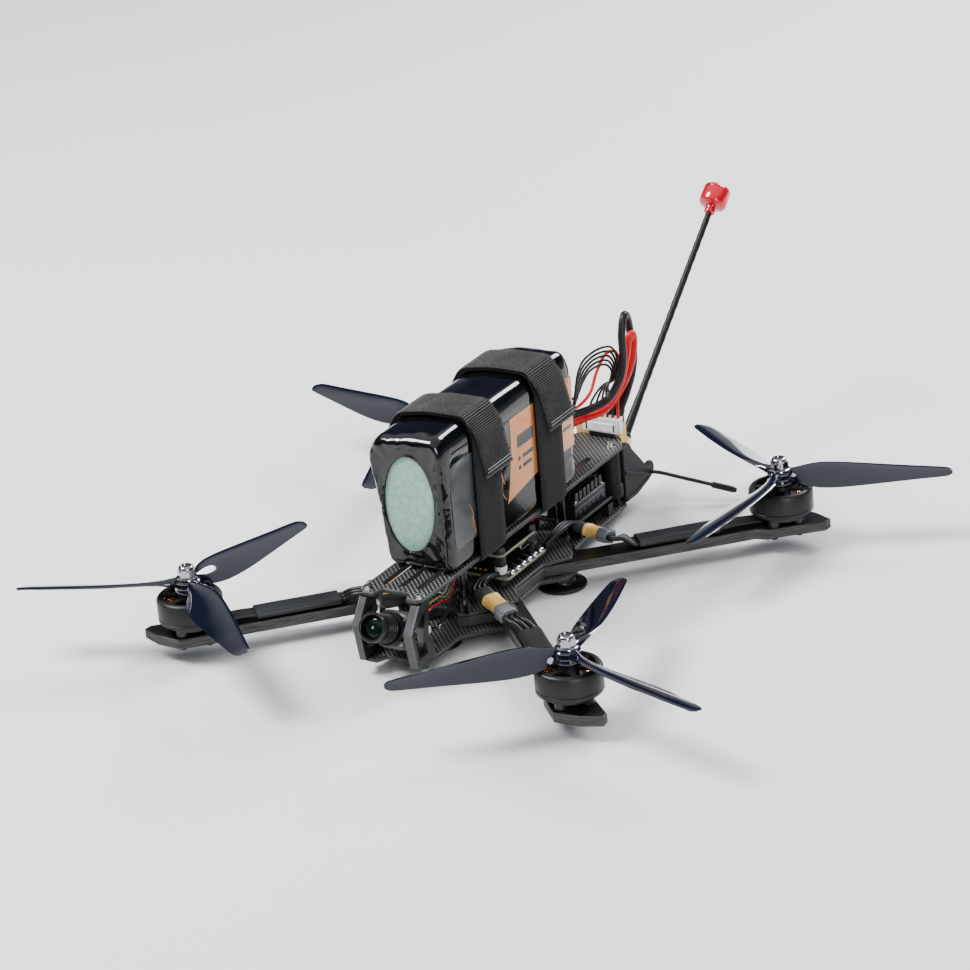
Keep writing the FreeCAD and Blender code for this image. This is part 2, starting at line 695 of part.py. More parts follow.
def make_motor_screws():
    """Sixteen button-head screws that hold the motors from under the arms."""
    items = []
    for corner in CORNERS:
        x, y = corner_xy(corner)
        for number, (dx, dy) in enumerate(BOLT_WAYS):
            bolt_x = "%s + %d * dims.bolt_circle / 2" % (x, dx)
            bolt_y = "%s + %d * dims.bolt_circle / 2" % (y, dy)
            at = (bolt_x, bolt_y, ARM_LOW)
            items.append(button_screw("motor_screw%d_%s" % (number, corner[0]), 9.0, at, False))
    publish(group("motor_screw_set", items), "motor_screws")


def blade_section(radius, chord, thick, pitch, sweep, drop, spin):
    """A closed aerofoil outline at one radius of a blade that points along +X."""
    rise = math.radians(pitch)
    outline = []
    # distance along the chord from the leading edge, height above and below the chord line
    profile = ((0.0, 0.0), (0.06, 0.45), (0.3, 0.75), (0.65, 0.55), (1.0, 0.06),
               (0.97, -0.06), (0.6, 0.05), (0.3, -0.1), (0.06, -0.3))
    for share, height in profile:
        across = chord * (0.5 - share)
        lift = thick * height
        y = across * math.cos(rise) - lift * math.sin(rise) + sweep
        z = across * math.sin(rise) + lift * math.cos(rise) - drop
        outline.append(Vector(radius, spin * y, z))
    curve = Part.BSplineCurve()
    curve.interpolate(outline, PeriodicFlag=True)
    return Part.Wire(curve.toShape())


# along the blade: share of the radius, chord, thickness, pitch angle, sweep towards the leading side
BLADE = (
    (0.055, 7.0, 3.4, 30.0, 0.6),
    (0.13, 12.5, 3.0, 30.0, 0.8),
    (0.22, 17.0, 2.5, 27.0, 0.6),
    (0.34, 18.6, 2.1, 22.5, 0.2),
    (0.52, 17.0, 1.8, 17.0, 0.0),
    (0.72, 13.8, 1.5, 13.0, 0.0),
    (0.88, 10.8, 1.2, 10.5, 0.0),
    (0.965, 9.0, 1.0, 9.5, 0.0),
    (1.0, 4.6, 0.7, 9.0, 0.0),
)
TIP_DROP = 1.3


def make_propeller(corner):
    """A three-bladed propeller for one spin direction, at its resting blade angle."""
    name, spin, angle = corner[0], corner[3], corner[4]
    radius = size("prop_radius")
    sections = []
    for share, chord, thick, pitch, sweep in BLADE:
        sections.append(blade_section(share * radius, chord, thick, pitch, sweep, TIP_DROP * share, spin))
    blade = Part.makeLoft(sections, True, False)
    hub_height = size("prop_hub_height")
    blade_level = size("hub_height") + hub_height / 2.0
    solid = Part.makeCylinder(size("prop_hub_radius"), hub_height, Vector(0, 0, size("hub_height")))
    rim = [e for e in solid.Edges if e.Curve.TypeId == "Part::GeomCircle"]
    solid = solid.makeFillet(1.0, rim)
    for number in range(3):
        turned = blade.copy()
        turned.translate(Vector(0, 0, blade_level))
        turned.rotate(Vector(0, 0, 0), Vector(0, 0, 1), angle + 120.0 * number)
        solid = solid.fuse(turned)
    bore = Part.makeCylinder(size("stud_radius") + 0.02, hub_height + 2, Vector(0, 0, size("hub_height") - 1))
    item = shape_feature("propeller_" + name, solid.cut(bore).removeSplitter())
    x, y = corner_xy(corner)
    place(item, (x, y, DECK))
    publish(item, "propeller_" + name)


# ---------------------------------------------------------------- camera

PIVOT = ("0", "dims.pivot_y", "dims.pivot_z")
# turns local +Z into the camera's looking direction, along -Y and raised by the tilt
LOOK = Rotation(Vector(1, 0, 0), 90.0 - size("camera_tilt"))
BODY_FRONT = 8.5
BODY_BACK = -8.5


def look_point(forwards, up=0.0):
    """A point in the camera's own upright plane, from its distances to the pivot."""
    tilt = math.radians(size("camera_tilt"))
    y = -forwards * math.cos(tilt) + up * math.sin(tilt)
    z = forwards * math.sin(tilt) + up * math.cos(tilt)
    return ("0", "dims.pivot_y + %.4f" % y, "dims.pivot_z + %.4f" % z)


def make_camera_body():
    """The square camera housing with a bevelled back and a tapped hole in each side."""
    half = size("camera_half")
    outline = [
        (BODY_FRONT, -half), (BODY_FRONT, half), (BODY_BACK + 3.5, half), (BODY_BACK, half - 3.5),
        (BODY_BACK, 3.5 - half), (BODY_BACK + 3.5, -half),
    ]
    tilt = math.radians(size("camera_tilt"))
    points = []
    for forwards, up in outline:
        y = -forwards * math.cos(tilt) + up * math.sin(tilt)
        z = forwards * math.sin(tilt) + up * math.cos(tilt)
        points.append(("dims.pivot_y + %.4f" % y, "dims.pivot_z + %.4f" % z))
    body = slab("camera_housing", "YZ_Plane", points, "2 * dims.camera_half", ("-dims.camera_half", 0, 0))
    holes = [cylinder("camera_thread", 5.02, 5.0, look_point(BODY_FRONT - 5.0), LOOK)]
    sideways = Rotation(Vector(0, 1, 0), 90)
    for side in (-1, 1):
        start = "dims.camera_half - 4" if side > 0 else "-dims.camera_half"
        holes.append(cylinder("camera_tap%d" % side, 1.02, 4.0, (start, PIVOT[1], PIVOT[2]), sideways))
    publish(cut("camera_body_cut", body, holes), "camera_body")


def make_camera_lens():
    """The lens barrel: threaded tail, ribbed barrel and a front ring around a domed glass."""
    rings = [
        cylinder("lens_thread", 5.0, 5.4, look_point(BODY_FRONT - 4.8), LOOK),
        cylinder("lens_collar", 8.0, 4.5, look_point(BODY_FRONT + 0.1), LOOK),
        cylinder("lens_barrel", 7.0, 14.0, look_point(BODY_FRONT + 2.0), LOOK),
        cylinder("lens_rim", 7.4, 4.6, look_point(BODY_FRONT + 15.5), LOOK),
    ]
    for number in range(4):
        where = look_point(BODY_FRONT + 6.0 + 1.9 * number)
        rings.append(cylinder("lens_rib%d" % number, 7.4, 0.8, where, LOOK))
    mouth = cylinder("lens_mouth", 5.8, 3.0, look_point(BODY_FRONT + 17.6), LOOK)
    ball = doc.addObject("Part::Sphere", "lens_ball")
    bind(ball, {"Radius": 9.0})
    place(ball, look_point(BODY_FRONT + 9.6))
    limit = cylinder("lens_limit", 5.8, 3.0, look_point(BODY_FRONT + 17.0), LOOK)
    glass = doc.addObject("Part::Common", "lens_glass")
    glass.Base = ball
    glass.Tool = limit
    barrel = cut("lens_body", fuse("lens_solid", rings), [mouth])
    publish(fuse("lens_set", [barrel, glass]), "camera_lens")


def make_camera_brackets():
    """Two flat ears that hold the camera's pivot screws and reach out to the side plates."""
    items = []
    ear = [(-92.6, 20.7), (-91.3, 24.0), (-90.0, 34.0), (-90.0, 38.5), (-86.6, 38.5), (-86.2, 34.0),
           (-84.6, 24.0), (-83.8, 20.7), (-85.0, 17.4), (-88.2, 16.0), (-91.4, 17.4)]
    lug = [(-89.8, 33.0), (-89.8, 38.4), (-86.8, 38.4), (-86.8, 33.0)]
    sideways = Rotation(Vector(0, 1, 0), 90)
    for side in (-1, 1):
        start = "dims.camera_half + 0.15" if side > 0 else "-dims.camera_half - 1.35"
        plate = slab("bracket_ear%d" % side, "YZ_Plane", ear, 1.2, (start, 0, 0))
        reach = "dims.cage_half - dims.cage_thick - dims.camera_half - 0.25"
        lug_start = "dims.camera_half + 0.2" if side > 0 else "-dims.cage_half + dims.cage_thick + 0.05"
        block = slab("bracket_lug%d" % side, "YZ_Plane", lug, reach, (lug_start, 0, 0))
        hole_start = "dims.camera_half" if side > 0 else "-dims.camera_half - 3"
        hole = cylinder("bracket_hole%d" % side, "1 + dims.running_gap", 3.0,
                        (hole_start, PIVOT[1], PIVOT[2]), sideways)
        items.append(cut("bracket%d" % side, fuse("bracket_solid%d" % side, [plate, block]), [hole]))
    publish(group("bracket_set", items), "camera_brackets")


def make_camera_screws():
    """The two small pivot screws that clamp the camera between its brackets."""
    items = []
    for side in (-1, 1):
        turn = Rotation(Vector(0, 1, 0), 90 * side)
        tip = "%d * (dims.camera_half - 3.6)" % side
        shank = cylinder("pivot_shank%d" % side, 1.0, "3.6 + 1.45", (tip, PIVOT[1], PIVOT[2]), turn)
        head_at = "%d * (dims.camera_half + 1.42)" % side
        head = cylinder("pivot_head%d" % side, 1.9, 1.3, (head_at, PIVOT[1], PIVOT[2]), turn)
        drive_at = "%d * (dims.camera_half + 2.0)" % side
        drive = prism("pivot_drive%d" % side, 6, 0.8, 2.0, (drive_at, PIVOT[1], PIVOT[2]), turn)
        items.append(cut("pivot_screw%d" % side, fuse("pivot_solid%d" % side, [shank, head]), [drive]))
    publish(group("pivot_set", items), "camera_screws")


# ---------------------------------------------------------------- electronics

BOARD_HOLE = 2.0


def board_with_holes(name, extent, level):
    """A circuit board with the stack's four mounting holes."""
    board = centred_box(name + "_pcb", (extent[0], extent[1], "dims.board_thick"), (0, 0, level))
    holes = hole_tools(name + "_hole", stack_points(), BOARD_HOLE, "%s - 1" % level, "dims.board_thick + 2")
    return cut(name + "_plain", board, holes)


def make_esc_board():
    """The four-in-one speed controller: board, rows of transistors and solder lands along two edges."""
    level = "dims.esc_level - dims.board_thick"
    solids = [board_with_holes("esc", (44.0, 40.0), level)]
    for side in (-1, 1):
        for number in range(3):
            y = -7.6 + 7.6 * number
            solids.append(centred_box("esc_chip%d_%d" % (side, number), (5.0, 5.8, 1.2),
                                      (side * 12.0, y, "dims.esc_level - 0.1")))
        for number in range(6):
            y = -13.4 + 5.8 * number
            solids.append(cylinder("esc_land%d_%d" % (side, number), 1.6, 1.1,
                                   (side * 20.1, y, "dims.esc_level - 0.1")))
    solids.append(centred_box("esc_logic", (9.0, 9.0, 1.0), (0, 0, "dims.esc_level - 0.1")))
    solids.append(centred_box("esc_under", (22.0, 26.0, 1.6), (0, 0, level + " - 1.5")))
    publish(fuse("esc_solid", solids), "esc_board")


def make_flight_controller():
    """The flight controller: board, processor, sensor and a side-facing data socket."""
    solids = [board_with_holes("fc", (36.0, 36.0), "dims.fc_level")]
    top = "dims.fc_level + dims.board_thick - 0.1"
    solids.append(centred_box("fc_processor", (10.0, 10.0, 1.2), (-4.0, 0, top)))
    solids.append(centred_box("fc_sensor", (3.4, 3.4, 1.1), (6.0, 6.5, top)))
    solids.append(centred_box("fc_header", (3.5, 12.0, 2.6), (-14.5, 0, top)))
    solids.append(centred_box("fc_socket", (7.5, 9.0, 3.2), (14.6, 4.5, "dims.fc_level - 3.1")))
    publish(fuse("fc_solid", solids), "flight_controller")


def make_stack_spacers():
    """Soft grommets and nylon spacers between the plate and the two boards."""
    items = []
    esc_low = "dims.esc_level - dims.board_thick"
    fc_top = "dims.fc_level + dims.board_thick"
    levels = (
        ("low", MID_TOP, "%s - (%s)" % (esc_low, MID_TOP)),
        ("mid", "dims.esc_level", "dims.fc_level - dims.esc_level"),
        ("high", fc_top, "1.2"),
    )
    for key, x, y in stack_points():
        for tag, low, height in levels:
            ring = cylinder("spacer_%s_%s" % (tag, key), 3.0, height, (x, y, low))
            bore = cylinder("spacer_bore_%s_%s" % (tag, key), "dims.screw_hole", height, (x, y, low))
            items.append(cut("spacer_ring_%s_%s" % (tag, key), ring, [bore]))
    publish(group("spacer_set", items), "stack_spacers")


def make_stack_screws():
    """Four long screws up through the frame, each with a low nut on top of the stack."""
    items = []
    for key, x, y in stack_points():
        top = "dims.fc_level + dims.board_thick + 1.2"
        length = "%s + 3.0 - dims.foot_height" % top
        screw = button_screw("stack_screw_" + key, length, (x, y, FRAME_LOW), False)
        nut = prism("stack_nut_" + key, 6, 3.1, 2.4, (x, y, top))
        bore = cylinder("stack_nut_bore_" + key, "dims.screw_radius + 0.02", 4.0, (x, y, "%s - 1" % top))
        items += [screw, cut("stack_nut_cut_" + key, nut, [bore])]
    publish(group("stack_screw_set", items), "stack_screws")


def make_vtx_tray():
    """A printed tray on four legs that lifts the video transmitter off the bottom plate."""
    deck = centred_box("tray_deck", (33.0, 35.0, 2.4), (0, 80.5, 14.6))
    solids = [deck]
    for sx in (-1, 1):
        solids.append(centred_box("tray_lip%d" % sx, (1.6, 35.0, 3.4), (sx * 15.7, 80.5, 14.6)))
        for sy, y in ((-1, 65.5), (1, 95.5)):
            leg_height = "14.7 - (%s)" % ARM_LOW
            leg = "tray_leg%d%d" % (sx, sy)
            solids.append(centred_box(leg, (5.0, 5.0, leg_height), (sx * 14.0, y, ARM_LOW)))
    slot = centred_box("tray_slot", (12.0, 20.0, 6.0), (0, 80.5, 13.0))
    publish(cut("tray", fuse("tray_solid", solids), [slot]), "vtx_tray")


def make_video_transmitter():
    """The video transmitter: a metal case with a finned heat sink on top."""
    case = centred_box("vtx_case", (27.0, 33.0, 9.0), (0, 80.5, 17.2))
    solids = [case]
    for number in range(9):
        x = -12.0 + 3.0 * number
        solids.append(centred_box("vtx_fin%d" % number, (1.2, 29.0, 5.4), (x, 80.5, 26.1)))
    publish(fuse("vtx_solid", solids), "video_transmitter")


def make_receiver():
    """The small radio receiver board in its sleeve, on the bottom plate under the tray."""
    board = centred_box("receiver_board", (11.0, 18.0, 1.0), (0, 84.0, ARM_LOW + " + 1.2"))
    chip = centred_box("receiver_chip", (7.0, 7.0, 1.1), (0, 82.0, ARM_LOW + " + 2.1"))
    pad = centred_box("receiver_pad", (9.0, 15.0, 1.3), (0, 84.0, ARM_LOW))
    publish(fuse("receiver_solid", [board, chip, pad]), "receiver")


def make_camera_cable():
    """The camera's loose wires: three signal wires down to a small plug, and a black lead beside them."""
    items = [centred_box("camera_cable_plug", (9.0, 3.0, 4.0), (3.0, -73.6, 13.4))]
    for n in range(3):
        drop = 0.6 + 2.4 * n
        path = [
            (2.0 + 2.0 * n, -18.8, 32.8), (1.0 + 1.6 * n, -38.0, 29.0),
            (5.0 + 1.5 * n, -54.0, 27.0 - 1.4 * n), (7.0 + 0.9 * n, -63.0, 31.6 - 2.4 * n),
            (5.0 + 1.2 * n, -70.8, 30.0 - 2.0 * n),
            (drop, -73.6, 22.0), (drop, -73.6, 17.6),
        ]
        items.append(shape_feature("camera_wire%d" % n, tube(path, 0.5)))
    lead = [
        (9.5, -20.2, 21.6), (10.0, -36.0, 24.0), (9.0, -50.0, 24.6), (9.0, -58.0, 19.8), (8.8, -68.0, 14.6),
    ]
    items.append(shape_feature("camera_lead", tube(lead, 0.8)))
    publish(group("camera_cable_set", items), "camera_cable")


# ---------------------------------------------------------------- tail: mount and antennas

# direction of the video antenna, and where its socket sits on the tail mount
RISE = math.radians(size("antenna_rise"))
ANTENNA_WAY = Vector(0, math.cos(RISE), math.sin(RISE))
ANTENNA_TURN = Rotation(Vector(1, 0, 0), size("antenna_rise") - 90.0)
SOCKET = Vector(0, 131.0, 21.0)


def antenna_point(distance):
    """A point on the video antenna's axis, measured from its socket."""
    point = SOCKET + ANTENNA_WAY * distance
    return (point.x, point.y, point.z)


def make_antenna_mount():
    """The printed tail piece: a wedge between the plates with a socket boss and an ear on each side."""
    outline = [
        (111.5, 8.3), (123.0, 8.3), (137.0, 11.5), (141.0, 12.5), (142.5, 15.0), (141.0, 19.0), (135.5, 21.0),
        (121.0, 36.4), (119.2, 39.9), (111.5, 39.9),
    ]
    wedge = slab("mount_wedge", "YZ_Plane", outline, 34.0, (-17.0, 0, 0))
    solids = [wedge]
    for key, x, y in TAIL_POSTS:
        solids.append(cylinder("mount_clip_" + key, 5.0, 26.0, (x, y, 13.6)))
        solids.append(centred_box("mount_web_" + key, (6.0, 5.0, 26.0), (x, 110.5, 13.6)))
    solids.append(cylinder("mount_boss", 7.0, 11.0, antenna_point(-10.0), ANTENNA_TURN))
    sideways = Rotation(Vector(0, 1, 0), 90)
    tools = [cylinder("mount_post_" + key, 2.6, 60.0, (x, y, -5)) for key, x, y in TAIL_POSTS]
    tools.append(cylinder("mount_bore", 3.25, 30.0, antenna_point(-20.0), ANTENNA_TURN))
    tools.append(cylinder("mount_face", 5.4, 14.0, antenna_point(1.0), ANTENNA_TURN))
    tools.append(centred_box("mount_well", (21.0, 26.0, 12.0), (0, 131.0, 23.0)))
    tools.append(centred_box("mount_step", (25.0, 12.0, 20.0), (-5.0, 124.0, 35.2)))
    tools.append(centred_box("mount_cave", (22.0, 16.0, 50.0), (0, 117.0, -2.0)))
    tools.append(cylinder("mount_ear_bore", 1.6, 40.0, (-20.0, 138.8, 15.4), sideways))
    for side in (-1, 1):
        tools.append(centred_box("mount_pocket%d" % side, (2.0, 9.0, 4.0), (side * 17.0, 124.0, 19.0)))
    publish(cut("mount_cut", fuse("mount_solid", solids), tools), "antenna_mount")


def make_antenna_connector():
    """The gold-plated coaxial socket through the mount, with its nut and the plug's hexagon."""
    barrel = cylinder("coax_barrel", 3.1, 15.0, antenna_point(-4.0), ANTENNA_TURN)
    nut = prism("coax_nut", 6, 4.6, 2.2, antenna_point(1.05), ANTENNA_TURN)
    plug = prism("coax_plug", 6, 4.5, 9.0, antenna_point(9.0), ANTENNA_TURN)
    publish(fuse("coax_solid", [barrel, nut, plug]), "antenna_connector")


def make_video_antenna():
    """The long video antenna: sleeve, thin stem and a short round cap, as separate solids."""
    sleeve = cylinder("stem_sleeve", 2.9, 22.0, antenna_point(18.02), ANTENNA_TURN)
    stem = cylinder("stem_rod", "dims.stem_radius", 119.0, antenna_point(38.0), ANTENNA_TURN)
    neck = cylinder("cap_neck", 3.2, 4.5, antenna_point(157.02), ANTENNA_TURN)
    drum = cylinder("cap_drum", "dims.cap_radius", 12.5, antenna_point(161.0), ANTENNA_TURN)
    stalk = fuse("stem_solid", [sleeve, stem])
    publish(group("antenna_set", [stalk, fuse("cap_solid", [neck, drum])]), "video_antenna")


EAR = Vector(17.1, 138.8, 15.4)
WHIP_WAY = Vector(0.93, 0.28, -0.22)


def make_receiver_antenna():
    """The receiver's two thin antenna tubes, one out of each ear, with thicker end sleeves."""
    items = []
    way = Vector(WHIP_WAY).normalize()
    for side in (-1, 1):
        start = Vector(EAR)
        bend = start + Vector(6.0, 0.6, 0.0)
        tip = bend + way * 34.0
        points = [start, bend, bend + way * 12.0, tip]
        path = [(side * p.x, p.y, p.z) for p in points]
        items.append(shape_feature("whip%d" % side, tube(path, 1.0)))
        begin = Vector(side * tip.x, tip.y, tip.z)
        direction = Vector(side * way.x, way.y, way.z)
        sleeve = Part.makeCylinder(1.7, 14.0, begin + direction * 0.4, direction)
        items.append(shape_feature("whip_sleeve%d" % side, sleeve))
    publish(group("whip_set", items), "receiver_antenna")


# ---------------------------------------------------------------- battery, straps and leads

def pack_outline():
    """The battery's front outline in X and Z; it leans a little to the drone's right."""
    low = ROOF_TOP + " + 0.1"
    waist = ROOF_TOP + " + 4"
    high = ROOF_TOP + " + dims.battery_height"
    return [
        ("-15.0", low), ("15.0", low), (18.3, waist), (18.9, high + " - 11"), (16.6, high + " - 3.4"),
        (10.5, high), (-17.5, high + " - 1"), (-24.0, high + " - 4.5"), (-26.8, high + " - 12"),
        (-18.6, waist),
    ]


def make_battery_pack():
    """The wrapped battery pack, a rounded block that stands on the top plate."""
    body = slab("pack_body", "XZ_Plane", pack_outline(), "dims.battery_length",
                (0, "dims.battery_middle + dims.battery_length / 2", 0))
    break_edges(body, 3.0, lambda a, b: abs(a.y - b.y) < 0.01)
    publish(body, "battery_pack")


def strap_outline(gap):
    """The strap's loop around the pack and the top plate, at a distance outside both."""
    low = "%s - %s" % (ROOF, gap)
    crown = "dims.battery_height"
    return [
        ("-dims.plate_half - (%s)" % gap, low), ("dims.plate_half + (%s)" % gap, low),
        ("dims.plate_half + (%s)" % gap, ROOF_TOP), ("18.9 + (%s)" % gap, "%s + %s - 11" % (ROOF_TOP, crown)),
        ("17.0 + 0.9 * (%s)" % gap, "%s + %s - 3.0 + 0.5 * (%s)" % (ROOF_TOP, crown, gap)),
        ("11.0 + 0.3 * (%s)" % gap, "%s + %s + 0.3 + (%s)" % (ROOF_TOP, crown, gap)),
        ("-18.0", "%s + %s - 0.7 + (%s)" % (ROOF_TOP, crown, gap)),
        ("-24.4 - 0.8 * (%s)" % gap, "%s + %s - 4.1 + 0.6 * (%s)" % (ROOF_TOP, crown, gap)),
        ("-27.0 - (%s)" % gap, "%s + %s - 12" % (ROOF_TOP, crown)),
        ("-dims.plate_half - 0.6 - (%s)" % gap, ROOF_TOP),
    ]


def make_strap(label, middle):
    """One hook-and-loop strap, a closed band around the pack and the plate."""
    outer = strap_outline("(dims.strap_gap + dims.strap_thick)")
    inner = strap_outline("dims.strap_gap")
    body = slab(label + "_band", "XZ_Plane", outer, "dims.strap_width",
                (0, "%s + dims.strap_width / 2" % middle, 0), [inner])
    publish(body, label)


def make_battery_plug():
    """The mated main power plugs, lying behind the rear edge of the top plate."""
    body = centred_box("plug_body", (31.0, 7.9, 14.0), (-5.0, 124.4, 35.4))
    waist = centred_box("plug_waist", (2.0, 12.0, 20.0), (-5.0, 124.4, 32.0))
    core = centred_box("plug_core", (3.0, 7.0, 13.0), (-5.0, 124.4, 35.9))
    publish(fuse("plug_solid", [cut("plug_halves", body, [waist]), core]), "battery_plug")


def make_power_leads():
    """The thick supply wires: battery to plug in a tall loop, and plug to speed controller."""
    radius = 2.1
    red = [
        (-3.0, 64.6, 63.0), (3.0, 75.0, 64.5), (11.0, 85.0, 67.0), (16.0, 99.0, 67.5),
        (20.3, 107.5, 78.5), (23.3, 110.5, 92.3), (25.0, 111.0, 101.5), (26.3, 113.2, 105.6),
        (25.8, 115.8, 101.5), (23.0, 118.0, 90.5), (18.2, 119.8, 79.0), (11.0, 122.5, 67.0),
        (5.2, 124.2, 57.5), (4.4, 124.3, 49.8),
    ]
    black = [
        (2.5, 64.6, 71.0), (7.0, 75.0, 71.5), (13.6, 85.0, 72.2), (18.5, 97.0, 74.0),
        (23.4, 102.5, 84.0), (25.7, 103.5, 95.0), (25.3, 104.5, 107.0), (24.8, 107.5, 114.5),
        (24.3, 111.0, 117.0), (23.6, 115.0, 113.0), (22.4, 119.0, 102.0), (21.0, 123.0, 90.0),
        (18.0, 125.0, 78.0), (13.4, 126.0, 66.0), (9.6, 124.8, 56.0), (9.1, 124.3, 49.8),
    ]
    items = [shape_feature("lead_red", tube(red, radius)), shape_feature("lead_black", tube(black, radius))]
    for side in (-1, 1):
        path = [(side * 3.2, 20.6, 24.6), (side * 3.2, 27.0, 26.0), (side * 3.4, 48.0, 33.0),
                (side * 3.4, 60.0, 34.4), (side * 3.4, 82.0, 34.4), (side * 3.4, 104.0, 34.6),
                (side * 3.4, 119.0, 36.4)]
        items.append(shape_feature("pigtail%d" % side, tube(path, 2.0)))
    publish(group("lead_set", items), "power_leads")


def make_balance_lead():
    """The white balance plug on the rear of the top plate and its bundle of thin wires."""
    housing = centred_box("balance_housing", (22.2, 5.7, 8.6), (2.3, 117.4, ROOF_TOP + " + 3"))
    rest = centred_box("balance_rest", (16.0, 4.0, 3.2), (2.3, 117.4, ROOF_TOP))
    items = [fuse("balance_plug", [housing, rest])]
    for n in range(5):
        slot_x = 9.0 - 3.2 * n
        path = [
            (9.0 + 1.7 * n, 65.6, 58.0 + 3.0 * n), (12.5 + 1.7 * n, 76.0, 84.0 + 3.6 * n),
            (13.6 + 1.7 * n, 88.0, 98.0 + 1.6 * n), (18.5 + 1.5 * n, 96.0, 101.0 + 0.6 * n),
            (19.5 + 0.9 * n, 103.5 - 0.9 * n, 91.5), (16.6 + 0.5 * n, 107.0 - 1.2 * n, 83.5),
            (11.5 - 1.6 * n, 111.0, 75.0), (slot_x, 117.4, 61.0),
            (slot_x, 117.4, 54.5),
        ]
        items.append(shape_feature("balance_wire%d" % n, tube(path, 0.55)))
    path = [
        (8.0, 64.6, 78.0), (11.0, 78.0, 76.0), (13.0, 89.0, 80.0), (14.0, 95.0, 89.0),
        (16.6, 101.0, 97.5), (20.0, 106.0, 97.5), (19.0, 110.5, 88.0), (14.5, 115.5, 74.0),
        (12.2, 117.4, 60.0), (12.2, 117.4, 54.5),
    ]
    items.append(shape_feature("balance_red", tube(path, 0.75)))
    publish(group("balance_set", items), "balance_lead")


# connector ends on the front-left and rear-left arms: start, end, height at start and end
PLUG_RUNS = {-1: ((19.0, -41.0), (42.0, -53.0), 24.0, 20.0), 1: ((22.0, 51.0), (43.0, 48.5), 21.5, 19.5)}

# how far the plug pairs are rolled about their length, front and rear
PLUG_ROLL = {-1: 0.0, 1: -23.0}


def aim(way):
    """Turns local +X into a direction without rolling about it."""
    yaw = math.degrees(math.atan2(way.y, way.x))
    pitch = math.degrees(math.asin(way.z / way.Length))
    return Rotation(Vector(0, 0, 1), yaw) * Rotation(Vector(0, 1, 0), -pitch)


def plug_run(corner):
    """Where one motor's plug pair starts and ends."""
    (x0, y0), (x1, y1), z0, z1 = PLUG_RUNS[corner[2]]
    return Vector(corner[1] * x0, y0, z0), Vector(corner[1] * x1, y1, z1)


def solid_bar(name, start, way, extent, roll=0.0):
    """A box that runs from a point along a direction, centred on its other two sizes."""
    turn = aim(way) * Rotation(Vector(1, 0, 0), roll)
    at = start - turn.multVec(Vector(0, extent[1] / 2.0, extent[2] / 2.0))
    item = doc.addObject("Part::Box", name)
    bind(item, {"Length": extent[0], "Width": extent[1], "Height": extent[2]})
    return place(item, (at.x, at.y, at.z), turn)


def make_motor_connectors():
    """The plug pairs between the speed controller's wires and each motor's wires."""
    items = []
    for corner in CORNERS:
        start, end = plug_run(corner)
        way = end - start
        roll = PLUG_ROLL[corner[2]] * corner[1]
        items.append(solid_bar("motor_plug_" + corner[0], start, way, (way.Length, 10.4, 6.8), roll))
    publish(group("motor_plug_set", items), "motor_connectors")


# the flat sleeve on each arm: distance from the motor, length, width and height; and the three wires in it
SLEEVE_START = {-1: 76.0, 1: 79.0}
SLEEVE_SIZE = (44.0, 12.4, 4.6)
WIRE_RADIUS = 1.15
WIRE_PITCH = 3.7
WIRE_GAP = 0.5


def make_motor_wires():
    """Three wires per motor, gathered under a flat sleeve along the arm."""
    items = []
    deck = size("foot_height") + size("bottom_thick") + size("arm_thick")
    for corner in CORNERS:
        name, sx, sy = corner[0], corner[1], corner[2]
        lean = Vector(sx, sy, 0).normalize()
        across = Vector(-lean.y, lean.x, 0)
        motor = Vector(sx * size("motor_x"), sy * size("motor_y"), deck + SLEEVE_SIZE[2] / 2.0 + 0.05)
        begin = motor - lean * SLEEVE_START[sy]
        items.append(solid_bar("sleeve_" + name, begin, lean, SLEEVE_SIZE))
        start, end = plug_run(corner)
        plug_way = (end - start).normalize()
        roll = Rotation(plug_way, PLUG_ROLL[sy] * sx)
        plug_side = roll.multVec(Vector(-plug_way.y, plug_way.x, 0).normalize())
        for number in (-1, 0, 1):
            shift = WIRE_PITCH * number
            out = end + plug_way * WIRE_GAP + plug_side * shift
            enter = begin - lean * WIRE_GAP + across * shift
            path = (out, out + plug_way * 2.5, enter - lean * 2.5, enter)
            items.append(wire("wire%d_%s" % (number, name), path))
            leave = begin + lean * (SLEEVE_SIZE[0] + WIRE_GAP) + across * shift
            reach = motor - lean * 13.5 + across * shift
            items.append(wire("tail%d_%s" % (number, name), (leave, (leave + reach) * 0.5, reach)))
    publish(group("motor_wire_set", items), "motor_wires")


def wire(name, path):
    """One motor wire through a few points."""
    return shape_feature(name, tube([(p.x, p.y, p.z) for p in path], WIRE_RADIUS))


# ---------------------------------------------------------------- assembly and export

def build():
    """Makes every sub-part."""
    make_top_plate()
    make_bottom_plate()
    make_mid_plate()
    make_camera_plates()
    make_standoffs()
    make_frame_screws()
    make_landing_feet()
    for corner in CORNERS:
        make_arm(corner)
        make_motor_base(corner)
        make_bell(corner)
        make_shaft(corner)
        make_propeller(corner)
        make_prop_nut(corner)
    make_stators()
    make_motor_bearings()
    make_motor_screws()
    make_camera_body()
    make_camera_lens()
    make_camera_brackets()
    make_camera_screws()
    make_esc_board()
    make_flight_controller()
    make_stack_spacers()
    make_stack_screws()
    make_vtx_tray()
    make_video_transmitter()
    make_receiver()
    make_camera_cable()
    make_antenna_mount()
    make_antenna_connector()
    make_video_antenna()
    make_receiver_antenna()
    make_battery_pack()
    make_strap("strap_front", "dims.front_strap_y")
    make_strap("strap_rear", "dims.rear_strap_y")
    make_battery_plug()
    make_power_leads()
    make_balance_lead()
    make_motor_connectors()
    make_motor_wires()


